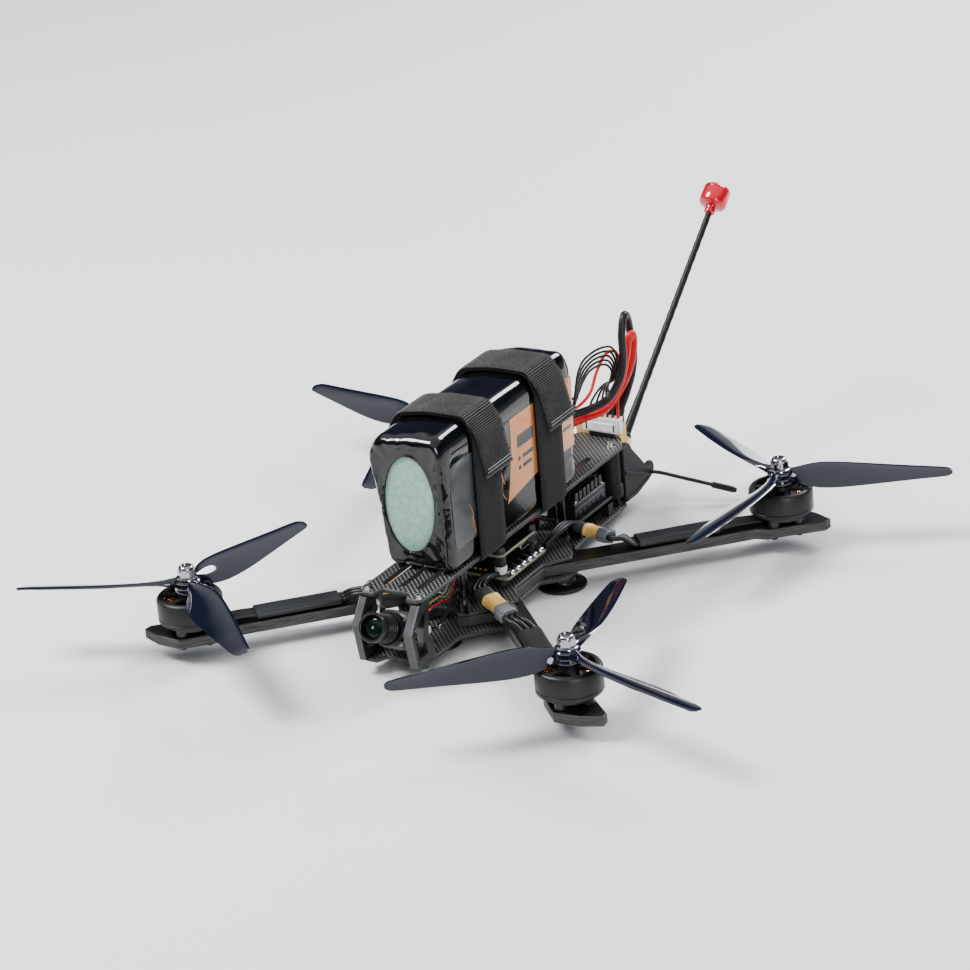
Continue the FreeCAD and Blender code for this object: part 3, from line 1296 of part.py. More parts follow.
def check_document():
    """Stops if any object failed to recompute or any sub-part has a bad shape."""
    for item in doc.Objects:
        if "Invalid" in item.State or "Error" in item.State:
            raise RuntimeError("%s failed to recompute: %s" % (item.Label, item.State))
    for item in parts:
        if item.Shape.isNull() or not item.Shape.isValid() or not item.Shape.Solids:
            raise RuntimeError("%s has no valid solid" % item.Label)


def export():
    """Writes one STEP file per sub-part."""
    for item in parts:
        item.Shape.exportStep("parts/%s.step" % item.Label)
        print("%-24s %3d solids  %9.1f mm3" % (item.Label, len(item.Shape.Solids), item.Shape.Volume))


fill_sheet()
build()
doc.recompute()
check_document()
export()
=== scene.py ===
"""Looks of the seven inch FPV racing drone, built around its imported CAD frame.

Lengths in the shapes are in millimetres; the scene itself is in metres.
"""
import bmesh
import bpy
from math import acos, atan2, cos, pi, radians, sin, sqrt, tan
from mathutils import Matrix, Vector, noise


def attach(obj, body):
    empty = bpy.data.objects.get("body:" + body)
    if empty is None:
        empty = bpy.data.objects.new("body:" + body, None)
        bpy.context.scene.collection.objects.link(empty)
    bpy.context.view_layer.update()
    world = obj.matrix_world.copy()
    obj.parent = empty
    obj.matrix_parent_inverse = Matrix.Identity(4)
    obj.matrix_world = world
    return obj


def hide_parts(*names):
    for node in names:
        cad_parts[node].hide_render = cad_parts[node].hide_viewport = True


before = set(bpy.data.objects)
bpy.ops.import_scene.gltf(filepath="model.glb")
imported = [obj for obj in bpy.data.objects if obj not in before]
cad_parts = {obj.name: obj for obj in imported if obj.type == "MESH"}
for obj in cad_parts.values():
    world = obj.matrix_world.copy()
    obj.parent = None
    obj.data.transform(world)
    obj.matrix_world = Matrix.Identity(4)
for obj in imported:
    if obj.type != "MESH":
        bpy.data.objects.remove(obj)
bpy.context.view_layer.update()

MM = 0.001
TAU = 2 * pi
# each motor's corner: name, place in plan, hand of its blades, angle they stand at
CORNERS = (
    ("front_right", -109.6, -111.8, 1, 81.9),
    ("front_left", 109.6, -111.8, -1, 102.3),
    ("rear_left", 109.6, 111.8, 1, 26.2),
    ("rear_right", -109.6, 111.8, -1, 43.3),
)
# heights of the arms' upper face, the top plate's underside and the speed controller's upper face
DECK = 13.5
ROOF = 40.2
ESC_TOP = 22.4
# the blades' reach from their axis, and the stack's holes from its middle
TIP_RADIUS = 88.9
STACK_HOLE = 15.25
# where the main plug, the balance plug and the transmitter sit along the body
PLUG_Y, PLUG_Z = 124.4, 42.4
BALANCE_Y = 117.4
BAY_Y = 80.5


# ---- shader graphs

class Graph:
    """A material written as a short list of node calls."""

    def __init__(self, name):
        self.mat = bpy.data.materials.new(name)
        self.mat.use_nodes = True
        self.tree = self.mat.node_tree
        self.shader = self.tree.nodes["Principled BSDF"]
        self.coord = self.tree.nodes.new("ShaderNodeTexCoord").outputs["Object"]
        self.normal = None

    def feed(self, socket, value):
        if isinstance(value, bpy.types.NodeSocket):
            self.tree.links.new(value, socket)
        elif isinstance(value, (tuple, list)) and len(value) == 3 and socket.type == "RGBA":
            socket.default_value = (*value, 1)
        elif value is not None:
            socket.default_value = value

    def math(self, op, a, b=None, c=None):
        node = self.tree.nodes.new("ShaderNodeMath")
        node.operation = op
        for socket, value in zip(node.inputs, (a, b, c)):
            self.feed(socket, value)
        return node.outputs[0]

    def node(self, kind, output, *values, **named):
        """A new node with inputs fed by position and by name; gives one of its outputs."""
        made = self.tree.nodes.new("ShaderNode" + kind)
        for socket, value in zip(made.inputs, values):
            self.feed(socket, value)
        for name, value in named.items():
            self.feed(made.inputs[name], value)
        return made.outputs[output]

    def axis(self, number, coord=None):
        return self.node("SeparateXYZ", number, coord or self.coord)

    def spin(self, angle):
        return self.node("VectorRotate", 0, Angle=radians(angle), Vector=self.coord)

    def stretch(self, x, y, z):
        return self.node("Mapping", 0, Scale=(x, y, z), Vector=self.coord)

    def noise(self, scale, detail=3, rough=0.5, coord=None):
        where = coord or self.coord
        return self.node("TexNoise", "Fac", Scale=scale, Detail=detail, Roughness=rough, Vector=where)

    def cells(self, scale, feature="F1"):
        node = self.tree.nodes.new("ShaderNodeTexVoronoi")
        node.feature = feature
        self.feed(node.inputs["Scale"], scale)
        self.feed(node.inputs["Vector"], self.coord)
        return node.outputs["Distance"]

    def ramp(self, fac, low, high, out_low=0, out_high=1):
        return self.node("MapRange", 0, fac, low, high, out_low, out_high)

    def mix(self, fac, a, b):
        node = self.tree.nodes.new("ShaderNodeMix")
        node.data_type = "RGBA"
        for number, value in ((0, fac), (6, a), (7, b)):
            self.feed(node.inputs[number], value)
        return node.outputs[2]

    def bump(self, height, strength, distance):
        self.normal = self.node("Bump", 0, Strength=strength, Distance=distance * MM, Height=height,
                                Normal=self.normal)

    def flatness(self):
        """One where the surface faces straight up or down."""
        normal = self.node("NewGeometry", "Normal")
        return self.math("ABSOLUTE", self.axis(2, normal))

    def edge(self):
        """Bright on convex edges, for wear."""
        return self.ramp(self.node("NewGeometry", "Pointiness"), 0.5, 0.56)

    def done(self, color, rough, metal=0, **others):
        self.feed(self.shader.inputs["Base Color"], color)
        self.feed(self.shader.inputs["Roughness"], rough)
        self.feed(self.shader.inputs["Metallic"], metal)
        for name, value in others.items():
            self.feed(self.shader.inputs[name.replace("_", " ")], value)
        self.feed(self.shader.inputs["Normal"], self.normal)
        return self.mat


def carbon(name, angle, painted_sheen):
    """Woven cloth in clear resin: each crossing rises as a lozenge, and alternate crossings carry a painted
    sheen on their crowns; sanded edges show the plies.
    """
    g = Graph(name)
    tow = 1.45 * MM
    turned = g.spin(angle)
    u, v = (g.math("DIVIDE", g.axis(k, turned), tow) for k in (0, 1))
    part_u, part_v = g.math("FRACT", u), g.math("FRACT", v)
    over = g.math("FLOORED_MODULO", g.math("ADD", g.math("FLOOR", u), g.math("FLOOR", v)), 2)
    rise_u = g.math("SINE", g.math("MULTIPLY", part_u, pi))
    rise_v = g.math("SINE", g.math("MULTIPLY", part_v, pi))
    crown = g.math("POWER", g.math("MAXIMUM", g.math("MULTIPLY", rise_u, rise_v), 0), 0.7)
    fibre = g.noise(2200, 2)
    # painted sheen: the crowns of alternate crossings turn light grey, standing in for the light the weave
    # reflects
    bright = g.ramp(crown, 0.3, 0.62)
    shade = g.math("MULTIPLY", bright, g.math("ADD", g.math("MULTIPLY", over, 0.92), 0.08))
    cloud = g.ramp(g.noise(25, 3), 0.3, 0.7, 0.7, 1.15)
    top = g.mix(g.math("MULTIPLY", shade, cloud), (0.006, 0.006, 0.006), (painted_sheen, painted_sheen, painted_sheen * 0.97))
    plies = g.noise(1, 2, coord=g.stretch(90, 90, 3600))
    side = g.mix(g.ramp(plies, 0.35, 0.65), (0.035, 0.035, 0.036), (0.115, 0.115, 0.112))
    flat = g.ramp(g.flatness(), 0.8, 0.9)
    g.bump(g.math("MULTIPLY", crown, flat), 0.3, 0.12)
    g.bump(fibre, 0.12, 0.05)
    rough = g.mix(flat, (0.6, 0.6, 0.6), (0.3, 0.3, 0.3))
    return g.done(g.mix(flat, side, top), rough, Specular_IOR_Level=0.5)


def satin(name, color, rough, metal=0, grain=600, bump=0.1, wear=0.25, spread=0.06, **others):
    """A painted, moulded or metal finish: mottled colour, uneven roughness, grain and worn edges."""
    g = Graph(name)
    mottled = g.noise(35, 4)
    light = tuple(min(1, c * 1.25 + 0.004) for c in color)
    dark = tuple(c * 0.8 for c in color)
    base = g.mix(g.ramp(mottled, 0.3, 0.7), dark, light)
    worn = tuple(min(1, c * 2.2 + 0.05) for c in color)
    base = g.mix(g.math("MULTIPLY", g.edge(), wear), base, worn)
    uneven = g.ramp(g.noise(140, 3), 0.25, 0.75, rough - spread, rough + spread)
    g.bump(g.noise(grain, 4, 0.6), bump, 0.08)
    return g.done(base, uneven, metal, **others)


def brushed(name, color, rough, squeeze=(1, 1, 14)):
    """Bare metal with fine turning lines."""
    g = Graph(name)
    lines = g.noise(500, 3, coord=g.stretch(*squeeze))
    base = g.mix(lines, tuple(c * 0.8 for c in color), color)
    g.bump(lines, 0.08, 0.04)
    return g.done(base, g.ramp(lines, 0.2, 0.8, rough - 0.05, rough + 0.08), 1)


def printed(name, color):
    """Flexible 3-D printed plastic with its layer lines."""
    g = Graph(name)
    z = g.axis(2)
    line = g.math("PINGPONG", g.math("MULTIPLY", z, 1 / (0.28 * MM)), 1)
    g.bump(line, 0.35, 0.06)
    g.bump(g.noise(420, 3), 0.15, 0.08)
    dusty = g.ramp(g.noise(60, 5, 0.65), 0.4, 0.75)
    base = g.mix(g.math("MULTIPLY", dusty, 0.5), color, (0.075, 0.075, 0.08))
    return g.done(base, g.ramp(dusty, 0, 1, 0.5, 0.68), 0, Specular_IOR_Level=0.4)


def shrink_wrap(name):
    """Glossy black film drawn tight over the cells, with fine creases."""
    g = Graph(name)
    creases = g.noise(26, 6, 0.62, g.stretch(1, 0.45, 1))
    fine = g.noise(160, 3, 0.5, g.stretch(1, 0.5, 1))
    g.bump(creases, 0.45, 1.4)
    g.bump(fine, 0.10, 0.3)
    base = g.mix(g.ramp(creases, 0.35, 0.65), (0.0035, 0.0035, 0.005), (0.009, 0.0095, 0.012))
    return g.done(base, g.ramp(fine, 0.3, 0.7, 0.07, 0.16), 0, Coat_Weight=0.6, Coat_Roughness=0.04)


def paper(name, color, speck):
    """Fibre board or card with flecks."""
    g = Graph(name)
    fleck = g.noise(420, 5, 0.7)
    large = g.noise(45, 2)
    base = g.mix(g.ramp(fleck, 0.42, 0.6), speck, color)
    base = g.mix(g.ramp(large, 0.3, 0.8, 0, 0.25), base, tuple(c * 0.9 for c in color))
    g.bump(fleck, 0.25, 0.08)
    return g.done(base, 0.82)


def foil(name, low, high):
    """A copper-toned printed film with a soft metallic glow, fading along its height."""
    g = Graph(name)
    cloud = g.noise(30, 4, 0.6)
    fade = g.ramp(g.math("ADD", g.axis(2), g.math("MULTIPLY", cloud, 0.03)), 0.06, 0.12)
    base = g.mix(fade, low, high)
    g.bump(g.noise(60, 4, 0.6, g.stretch(1, 0.5, 1)), 0.2, 0.5)
    return g.done(base, 0.26, 0.25, Coat_Weight=0.5, Coat_Roughness=0.08)


def webbing(name):
    """Ribbed webbing of grey yarn, painted near black in the grooves between the ribs as shade, with a little
    fuzz.
    """
    g = Graph(name)
    rib = g.tree.nodes.new("ShaderNodeAttribute")
    rib.attribute_name = "rib"
    yarn = g.noise(1500, 2, 0.6)
    patch = g.noise(90, 3)
    crown = g.mix(g.ramp(yarn, 0.3, 0.7), (0.055, 0.054, 0.050), (0.165, 0.160, 0.150))
    crown = g.mix(g.ramp(patch, 0.35, 0.8, 0, 0.5), crown, (0.040, 0.040, 0.038))
    # painted shade: the crest flag keeps the yarn grey on the rib crowns and turns the grooves between them
    # near black
    base = g.mix(g.ramp(rib.outputs["Fac"], 0.15, 0.85), (0.006, 0.006, 0.006), crown)
    g.bump(yarn, 0.6, 0.2)
    return g.done(base, 0.9, 0, Sheen_Weight=0.15, Sheen_Roughness=0.5, Specular_IOR_Level=0.2)


def fuzz(name):
    """The looped face of hook-and-loop tape: matt black pile with pale specks."""
    g = Graph(name)
    pile = g.cells(2600)
    fleck = g.noise(1700, 3, 0.7)
    base = g.mix(g.ramp(fleck, 0.55, 0.72), (0.006, 0.006, 0.007), (0.045, 0.045, 0.047))
    g.bump(pile, 0.7, 0.2)
    return g.done(base, 0.95, 0, Sheen_Weight=0.2, Specular_IOR_Level=0.15)


def smoked(name):
    """Glossy smoked polycarbonate, slightly see-through."""
    g = Graph(name)
    flow = g.noise(22, 3, 0.5)
    base = g.mix(flow, (0.005, 0.007, 0.016), (0.011, 0.014, 0.030))
    g.bump(g.noise(38, 1), 0.35, 0.8)
    return g.done(base, 0.07, 0, Coat_Weight=1, Coat_Roughness=0.03, Transmission_Weight=0.12, IOR=1.6)


def silicone(name, color):
    """Soft cable insulation with faint dust."""
    g = Graph(name)
    cloud = g.noise(70, 4, 0.6)
    base = g.mix(g.ramp(cloud, 0.3, 0.75), tuple(c * 0.82 for c in color), color)
    g.bump(g.noise(300, 2), 0.12, 0.1)
    return g.done(base, g.ramp(cloud, 0.3, 0.7, 0.34, 0.46), 0, Subsurface_Weight=0.05)


def rippled(name):
    """Black heat-shrink with fine rings along the antenna."""
    g = Graph(name)
    along = g.math("ADD", g.axis(1), g.axis(2))
    ring = g.math("SINE", g.math("MULTIPLY", along, 2600))
    g.bump(ring, 0.22, 0.08)
    g.bump(g.noise(500, 3), 0.2, 0.1)
    speck = g.ramp(g.noise(900, 3, 0.7), 0.62, 0.72)
    base = g.mix(speck, (0.01, 0.011, 0.011), (0.10, 0.11, 0.11))
    return g.done(base, 0.42)


def circuit(name):
    """Black solder mask with faint traces."""
    g = Graph(name)
    grid = g.cells(380, feature="DISTANCE_TO_EDGE")
    trace = g.ramp(grid, 0.03, 0.07, 1, 0)
    base = g.mix(g.math("MULTIPLY", trace, 0.5), (0.006, 0.008, 0.009), (0.03, 0.035, 0.03))
    g.bump(trace, 0.3, 0.05)
    return g.done(base, 0.3, 0, Coat_Weight=0.3)


def copper(name):
    """Enamelled windings."""
    g = Graph(name)
    shade = g.noise(400, 3)
    g.bump(shade, 0.2, 0.05)
    return g.done(g.mix(shade, (0.55, 0.16, 0.04), (0.9, 0.38, 0.14)), 0.24, 0.85, Coat_Weight=0.5)


def solder(name):
    """Bright lumpy solder."""
    g = Graph(name)
    lump = g.noise(380, 3)
    g.bump(lump, 0.5, 0.3)
    return g.done(g.mix(lump, (0.55, 0.56, 0.58), (0.85, 0.86, 0.88)), g.ramp(lump, 0.3, 0.7, 0.1, 0.25), 1)


M = {
    # the last argument sets how light the painted sheen on the weave is
    "carbon": carbon("carbon_plate", 0, 0.32),
    "carbon_arm": carbon("carbon_arm", 45, 0.08),
    "alloy": satin("black_anodised", (0.022, 0.022, 0.024), 0.34, 0.55, 900, 0.06, 0.5),
    "cage": satin("cage_alloy", (0.045, 0.046, 0.048), 0.3, 0.85, 900, 0.05, 0.6),
    "bell": satin("bell_black", (0.018, 0.018, 0.019), 0.38, 0.5, 1200, 0.08, 0.35),
    "steel": brushed("bright_steel", (0.72, 0.71, 0.69), 0.2),
    "black_steel": satin("black_oxide_steel", (0.03, 0.03, 0.032), 0.3, 0.8, 900, 0.08, 0.4),
    "chrome": brushed("nut_polish", (0.46, 0.46, 0.48), 0.12),
    "gold": brushed("gold_plate", (0.86, 0.66, 0.32), 0.2),
    "rubber": satin("foot_rubber", (0.010, 0.010, 0.011), 0.24, 0, 700, 0.06, 0.2),
    "copper": copper("windings"),
    "lamination": brushed("core_steel", (0.25, 0.25, 0.26), 0.35, (1, 1, 60)),
    "magnet": satin("magnet_nickel", (0.4, 0.4, 0.42), 0.3, 0.9),
    "case": satin("camera_case", (0.062, 0.063, 0.067), 0.38, 0, 900, 0.15, 0.4),
    "lens_black": satin("lens_black", (0.012, 0.012, 0.013), 0.28, 0.3, 900, 0.08, 0.4),
    "glass": satin("lens_glass", (0.004, 0.012, 0.010), 0.03, 0, 100, 0, 0, 0.01, Coat_Weight=0.25,
                   Coat_Tint=(0.35, 0.9, 0.7), IOR=1.4),
    "circuit": circuit("solder_mask"),
    "board_edge": satin("board_edge", (0.20, 0.19, 0.13), 0.5, 0, 900, 0.1, 0.2),
    "chip": satin("chip_epoxy", (0.02, 0.02, 0.022), 0.45, 0, 900, 0.15, 0.2),
    "solder": solder("solder"),
    "nylon": satin("pale_nylon", (0.62, 0.62, 0.60), 0.5, 0, 500, 0.15, 0.1),
    "white": satin("white_nylon", (0.80, 0.80, 0.77), 0.42, 0, 500, 0.1, 0.1),
    "tan": satin("tan_nylon", (0.82, 0.50, 0.17), 0.45, 0, 500, 0.12, 0.15),
    "grey": satin("grey_nylon", (0.035, 0.037, 0.040), 0.5, 0, 500, 0.15, 0.25),
    "printed": printed("printed_black", (0.018, 0.018, 0.020)),
    "sink": satin("heat_sink_black", (0.02, 0.02, 0.022), 0.32, 0.6, 900, 0.08, 0.5),
    "red_cap": satin("cap_red", (0.50, 0.012, 0.022), 0.16, 0.15, 200, 0.03, 0.35, Coat_Weight=0.8),
    "ripple": rippled("antenna_sleeve"),
    "wrap": shrink_wrap("battery_wrap"),
    "mint": paper("mint_board", (0.30, 0.47, 0.40), (0.40, 0.57, 0.50)),
    "foil": foil("copper_label", (0.75, 0.40, 0.20), (0.72, 0.27, 0.09)),
    "ink": satin("label_ink", (0.02, 0.022, 0.026), 0.3, 0, 300, 0.05, 0.1, Coat_Weight=0.5),
    "smoke": satin("smoke_label", (0.085, 0.09, 0.095), 0.22, 0, 300, 0.05, 0.1, Coat_Weight=0.4),
    "ribbed": webbing("ribbed_webbing"),
    "fuzz": fuzz("loop_tape"),
    "thread": satin("stitch_thread", (0.30, 0.32, 0.33), 0.7, 0, 2000, 0.3, 0.1),
    "red": silicone("red_silicone", (0.72, 0.035, 0.03)),
    "black": silicone("black_silicone", (0.016, 0.016, 0.018)),
    "sleeve": satin("heat_shrink", (0.014, 0.015, 0.017), 0.36, 0, 260, 0.3, 0.2),
    "blade": smoked("smoked_blade"),
    "grey_end": satin("grey_boot", (0.135, 0.145, 0.15), 0.45, 0, 700, 0.25, 0.3),
    "yellow": silicone("yellow_wire", (0.42, 0.38, 0.14)),
    "grommet": satin("black_grommet", (0.014, 0.014, 0.015), 0.45, 0, 600, 0.2, 0.2),
    "post": satin("post_anodised", (0.03, 0.03, 0.032), 0.12, 0.85, 400, 0.04, 0.6, 0.04),
    # painted reflection: the warm disc on the crown of the lens glass
    "painted_glint": satin("lens_reflection", (0.45, 0.30, 0.24), 0.15, 0.4, 300, 0.05, 0.1, 0.04),
}


# ---- mesh builder

def frame_to(origin, way, up=(0, 0, 1)):
    """A matrix that takes local Z to a direction, at an origin."""
    z = Vector(way).normalized()
    x = Vector(up).cross(z)
    x = Vector((1, 0, 0)) if x.length < 1e-6 else x.normalized()
    y = z.cross(x)
    m = Matrix((x, y, z)).transposed().to_4x4()
    m.translation = Vector(origin)
    return m


def at(x, y, z):
    return Matrix.Translation((x, y, z))


def turned(m, share, axis="Z"):
    """A matrix turned by a share of a whole turn."""
    return m @ Matrix.Rotation(TAU * share, 4, axis)


def between(a, b, c, d, t):
    """A Catmull-Rom step from b to c."""
    square, cube = 2 * a - 5 * b + 4 * c - d, 3 * b - a - 3 * c + d
    return 0.5 * (2 * b + (c - a) * t + square * t * t + cube * t ** 3)


def angles(count):
    return [TAU * k / count for k in range(count)]


def smooth_path(points, steps=10):
    """A Catmull-Rom curve through the points."""
    pts = [Vector(p) for p in points]
    pts = [pts[0] * 2 - pts[1]] + pts + [pts[-1] * 2 - pts[-2]]
    out = []
    for i in range(1, len(pts) - 2):
        a, b, c, d = pts[i - 1:i + 3]
        for k in range(steps):
            t = k / steps
            out.append(between(a, b, c, d, t))
    out.append(pts[-2])
    return out


class Shape:
    """Collects closed surfaces, each with a material, into one piece."""

    def __init__(self):
        self.verts, self.faces, self.slots, self.mats, self.ribs = [], [], [], [], []

    def add(self, verts, faces, mat, m=None, ribs=None):
        base = len(self.verts)
        self.ribs += ribs or [1] * len(verts)
        self.verts += [m @ Vector(v) if m is not None else Vector(v) for v in verts]
        if mat not in self.mats:
            self.mats.append(mat)
        flip = m is not None and m.determinant() < 0
        for f in faces:
            f = [base + i for i in f]
            self.faces.append(f[::-1] if flip else f)
            self.slots.append(self.mats.index(mat))
        return self

    def rings(self, rings, mat, m=None, closed=False, ribs=None):
        """Skins a list of equal rings of points; closed joins the last ring to the first."""
        n = len(rings[0])
        verts = [p for ring in rings for p in ring]
        faces = []
        last = len(rings) if closed else len(rings) - 1
        for i in range(last):
            a, b = i * n, ((i + 1) % len(rings)) * n
            faces += [(a + k, a + (k + 1) % n, b + (k + 1) % n, b + k) for k in range(n)]
        if not closed:
            faces.append(tuple(range(n))[::-1])
            faces.append(tuple((len(rings) - 1) * n + k for k in range(n)))
        return self.add(verts, faces, mat, m, ribs)

    def lathe(self, profile, mat, m=None, sides=48, closed=False):
        """Turns (radius, height) points about Z; closed joins the last to the first, else both are capped."""
        rings = [[(r * cos(a), r * sin(a), z) for a in angles(sides)] for r, z in profile]
        return self.rings(rings, mat, m, closed)

    def prism(self, outline, low, high, mat, m=None, bevel=0):
        """Extrudes an anticlockwise outline, with its rims chamfered inwards."""
        rings = [[(x, y, low) for x, y in outline], [(x, y, high) for x, y in outline]]
        if bevel:
            inner = inset(outline, bevel)
            rings = [[(x, y, low) for x, y in inner], [(x, y, low + bevel) for x, y in outline],
                     [(x, y, high - bevel) for x, y in outline], [(x, y, high) for x, y in inner]]
        return self.rings(rings, mat, m)

    def box(self, size, centre, mat, m=None, bevel=0.4):
        """A block with rounded upright corners and chamfered rims."""
        sx, sy, sz = size
        place = (m or Matrix.Identity(4)) @ Matrix.Translation(centre)
        outline = rounded((sx, sy), min(bevel, sx / 3, sy / 3), 3)
        return self.prism(outline, -sz / 2, sz / 2, mat, place, min(bevel, sz / 3))

    def tube(self, points, radius, mat, sides=12, steps=10, m=None, squash=1):
        """A cable through points, with rounded-off ends; radius may be a function of the share along it."""
        path = smooth_path(points, steps) if steps > 1 else [Vector(p) for p in points]
        rings, normal = [], None
        for i, p in enumerate(path):
            way = (path[min(i + 1, len(path) - 1)] - path[max(i - 1, 0)]).normalized()
            if normal is None:
                normal = way.orthogonal() if abs(way.z) > 0.9 else Vector((0, 0, 1)).cross(way)
                normal.normalize()
            normal = (normal - way * normal.dot(way)).normalized()
            side = way.cross(normal)
            r = radius(i / (len(path) - 1)) if callable(radius) else radius
            ring = [p + (normal * cos(a) + side * sin(a) * squash) * r for a in angles(sides)]
            if i in (0, len(path) - 1):
                shift = way * (-0.25 * r if i == 0 else 0.25 * r)
                small = [p + (q - p) * 0.75 + shift for q in ring]
                rings += [small, ring] if i == 0 else [ring, small]
            else:
                rings.append(ring)
        return self.rings(rings, mat, m)

    def hexagon(self, flats, low, high, mat, m=None, bevel=0.4):
        r = flats / sqrt(3)
        outline = [(r * cos(a), r * sin(a)) for a in angles(6)]
        return self.prism(outline, low, high, mat, m, bevel)

    def build(self, name, *nodes, slot, body="frame", angle=38):
        """Makes the Blender object, rides it on a body and hides the CAD nodes it stands for."""
        mesh = bpy.data.meshes.new(name)
        mesh.from_pydata([v * MM for v in self.verts], [], self.faces)
        for mat in self.mats:
            mesh.materials.append(M[mat])
        mesh.polygons.foreach_set("material_index", self.slots)
        mesh.polygons.foreach_set("use_smooth", [True] * len(self.faces))
        if "ribbed" in self.mats:
            mesh.attributes.new("rib", "FLOAT", "POINT").data.foreach_set("value", self.ribs)
        mesh.validate()
        bm = bmesh.new()
        bm.from_mesh(mesh)
        bmesh.ops.recalc_face_normals(bm, faces=bm.faces)
        bm.to_mesh(mesh)
        bm.free()
        mesh.set_sharp_from_angle(angle=radians(angle))
        obj = bpy.data.objects.new(name, mesh)
        bpy.context.scene.collection.objects.link(obj)
        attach(obj, body)
        if nodes:
            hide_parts(*nodes)


def inset(outline, width):
    """Moves a closed anticlockwise outline inwards by a small width."""
    out = []
    n = len(outline)
    for i in range(n):
        a, b, c = (Vector(outline[j % n]) for j in (i - 1, i, i + 1))
        d1, d2 = (b - a), (c - b)
        n1 = Vector((-d1.y, d1.x)).normalized() if d1.length else Vector((0, 0))
        n2 = Vector((-d2.y, d2.x)).normalized() if d2.length else n1
        mid = n1 + n2
        mid = mid / max(mid.dot(mid) / 2, 0.35) if mid.length > 1e-6 else n1
        out.append(tuple(b + mid * width))
    return out


def rounded(size, radius, steps=4, centre=(0, 0)):
    """A rectangle's outline with round corners, anticlockwise."""
    hx, hy = size[0] / 2 - radius, size[1] / 2 - radius
    pts = []
    for q, (sx, sy) in enumerate(((1, 1), (-1, 1), (-1, -1), (1, -1))):
        for k in range(steps + 1):
            a = (q + k / steps) * TAU / 4
            pts.append((centre[0] + sx * hx + radius * cos(a), centre[1] + sy * hy + radius * sin(a)))
    return pts


def fillet_polygon(corners, steps=5):
    """Rounds each (x, y, radius) corner of a closed outline."""
    pts = []
    n = len(corners)
    for i in range(n):
        p = Vector(corners[i][:2])
        a, b = Vector(corners[i - 1][:2]), Vector(corners[(i + 1) % n][:2])
        u, v = (a - p).normalized(), (b - p).normalized()
        half = acos(max(-1, min(1, u.dot(v)))) / 2
        reach = min(corners[i][2] / tan(half), (a - p).length * 0.48, (b - p).length * 0.48)
        start, end = p + u * reach, p + v * reach
        for k in range(steps + 1):
            t = k / steps
            pts.append(tuple(start * (1 - t) ** 2 + p * (2 * t * (1 - t)) + end * t * t))
    return pts


def even_loop(outline, count):
    """Resamples a closed outline at even spacing."""
    pts = [Vector(p) for p in outline] + [Vector(outline[0])]
    gaps = [(pts[i + 1] - pts[i]).length for i in range(len(pts) - 1)]
    total = sum(gaps)
    out, i, run = [], 0, 0
    for k in range(count):
        want = total * k / count
        while run + gaps[i] < want:
            run += gaps[i]
            i += 1
        t = (want - run) / gaps[i]
        out.append(pts[i].lerp(pts[i + 1], t))
    return out


# ---- battery pack

PACK = fillet_polygon([(-18.2, 42.85, 5), (18.2, 42.85, 5), (18.9, 108, 16), (14.6, 115.6, 5),
                       (-6, 115.3, 40), (-21.5, 112.6, 10), (-26.9, 103.5, 12)], 8)
PACK_LOOP = even_loop(PACK, 168)
PACK_FRONT, PACK_REAR = -66, 63.2
PACK_RIM = 7.5
OVAL_AT = Vector((-2.9, 78.6))
OVAL_HALF = Vector((14.6, 26))
OVAL_LEAN = 0.04


def loop_normal(i):
    """The outward direction at one point of the pack's outline."""
    a, b = PACK_LOOP[i - 1], PACK_LOOP[(i + 1) % len(PACK_LOOP)]
    d = (b - a).normalized()
    return Vector((d.y, -d.x))


def pack_swell(x, y, z):
    """How far the wrap stands in or out at a point: soft cell edges, dents and end creases."""
    low = noise.noise(Vector((x * 0.045, y * 0.022, z * 0.045))) * 0.55
    ends = min(1, max(0, (abs(y + 1.4) - 44) / 20))
    crease = noise.noise(Vector((x * 0.16, y * 0.05, z * 0.16 + 7))) * (0.25 + 0.75 * ends)
    flat = 1 if z > 46 else 0.15
    return (low + crease * 0.55 - 0.3) * flat


def pack_ring(y):
    ring = []
    for i, p in enumerate(PACK_LOOP):
        n = loop_normal(i)
        q = p + n * pack_swell(p.x, y, p.y)
        ring.append(Vector((q.x, y, q.y)))
    return ring


def oval_point(p, grow=1):
    """The opening's rim in the direction of an outline point."""
    d = Vector(((p.x - OVAL_AT.x) / OVAL_HALF.x, (p.y - OVAL_AT.y) / OVAL_HALF.y))
    a = atan2(d.y, d.x)
    z = OVAL_HALF.y * sin(a) * grow
    x = OVAL_HALF.x * cos(a) * grow + OVAL_LEAN * z
    return Vector((OVAL_AT.x + x, OVAL_AT.y + z))


def end_rings(face_y, inwards):
    """Rings from the pack's side over the rounded rim and across the end to the oval opening's lip."""
    rings = []
    for k in range(9):
        a = TAU / 4 * (k + 1) / 9
        ring = []
        for i, p in enumerate(PACK_LOOP):
            oval = oval_point(p)
            gap = max((oval - p).length, 4)
            w = min(0.9, 5.2 * (1 - cos(a)) / gap)
            n = loop_normal(i)
            side = p + n * pack_swell(p.x, face_y, p.y) * (1 - k / 9)
            q = side.lerp(oval, w)
            wrinkle = noise.noise(Vector((q.x * 0.22, 3, q.y * 0.22))) * 0.7 * sin(a)
            ring.append(Vector((q.x, face_y + inwards * (PACK_RIM * (1 - sin(a)) + wrinkle), q.y)))
        rings.append(ring)
    for share in (0.3, 0.6, 0.85, 0.97, 1):
        ring = []
        for i, p in enumerate(PACK_LOOP):
            start = Vector((rings[8][i].x, rings[8][i].z))
            q = start.lerp(oval_point(p), share)
            wrinkle = noise.noise(Vector((q.x * 0.2, 3, q.y * 0.2))) * 0.8 * (1 - share * 0.6)
            lift = -0.25 if share > 0.9 else 0
            ring.append(Vector((q.x, face_y + inwards * (wrinkle + lift + 0.35), q.y)))
        rings.append(ring)
    for depth, grow in ((0.5, 0.985), (1.2, 0.98)):
        rings.append([Vector((oval_point(p, grow).x, face_y + inwards * (depth + 0.3),
                              oval_point(p, grow).y)) for p in PACK_LOOP])
    return rings


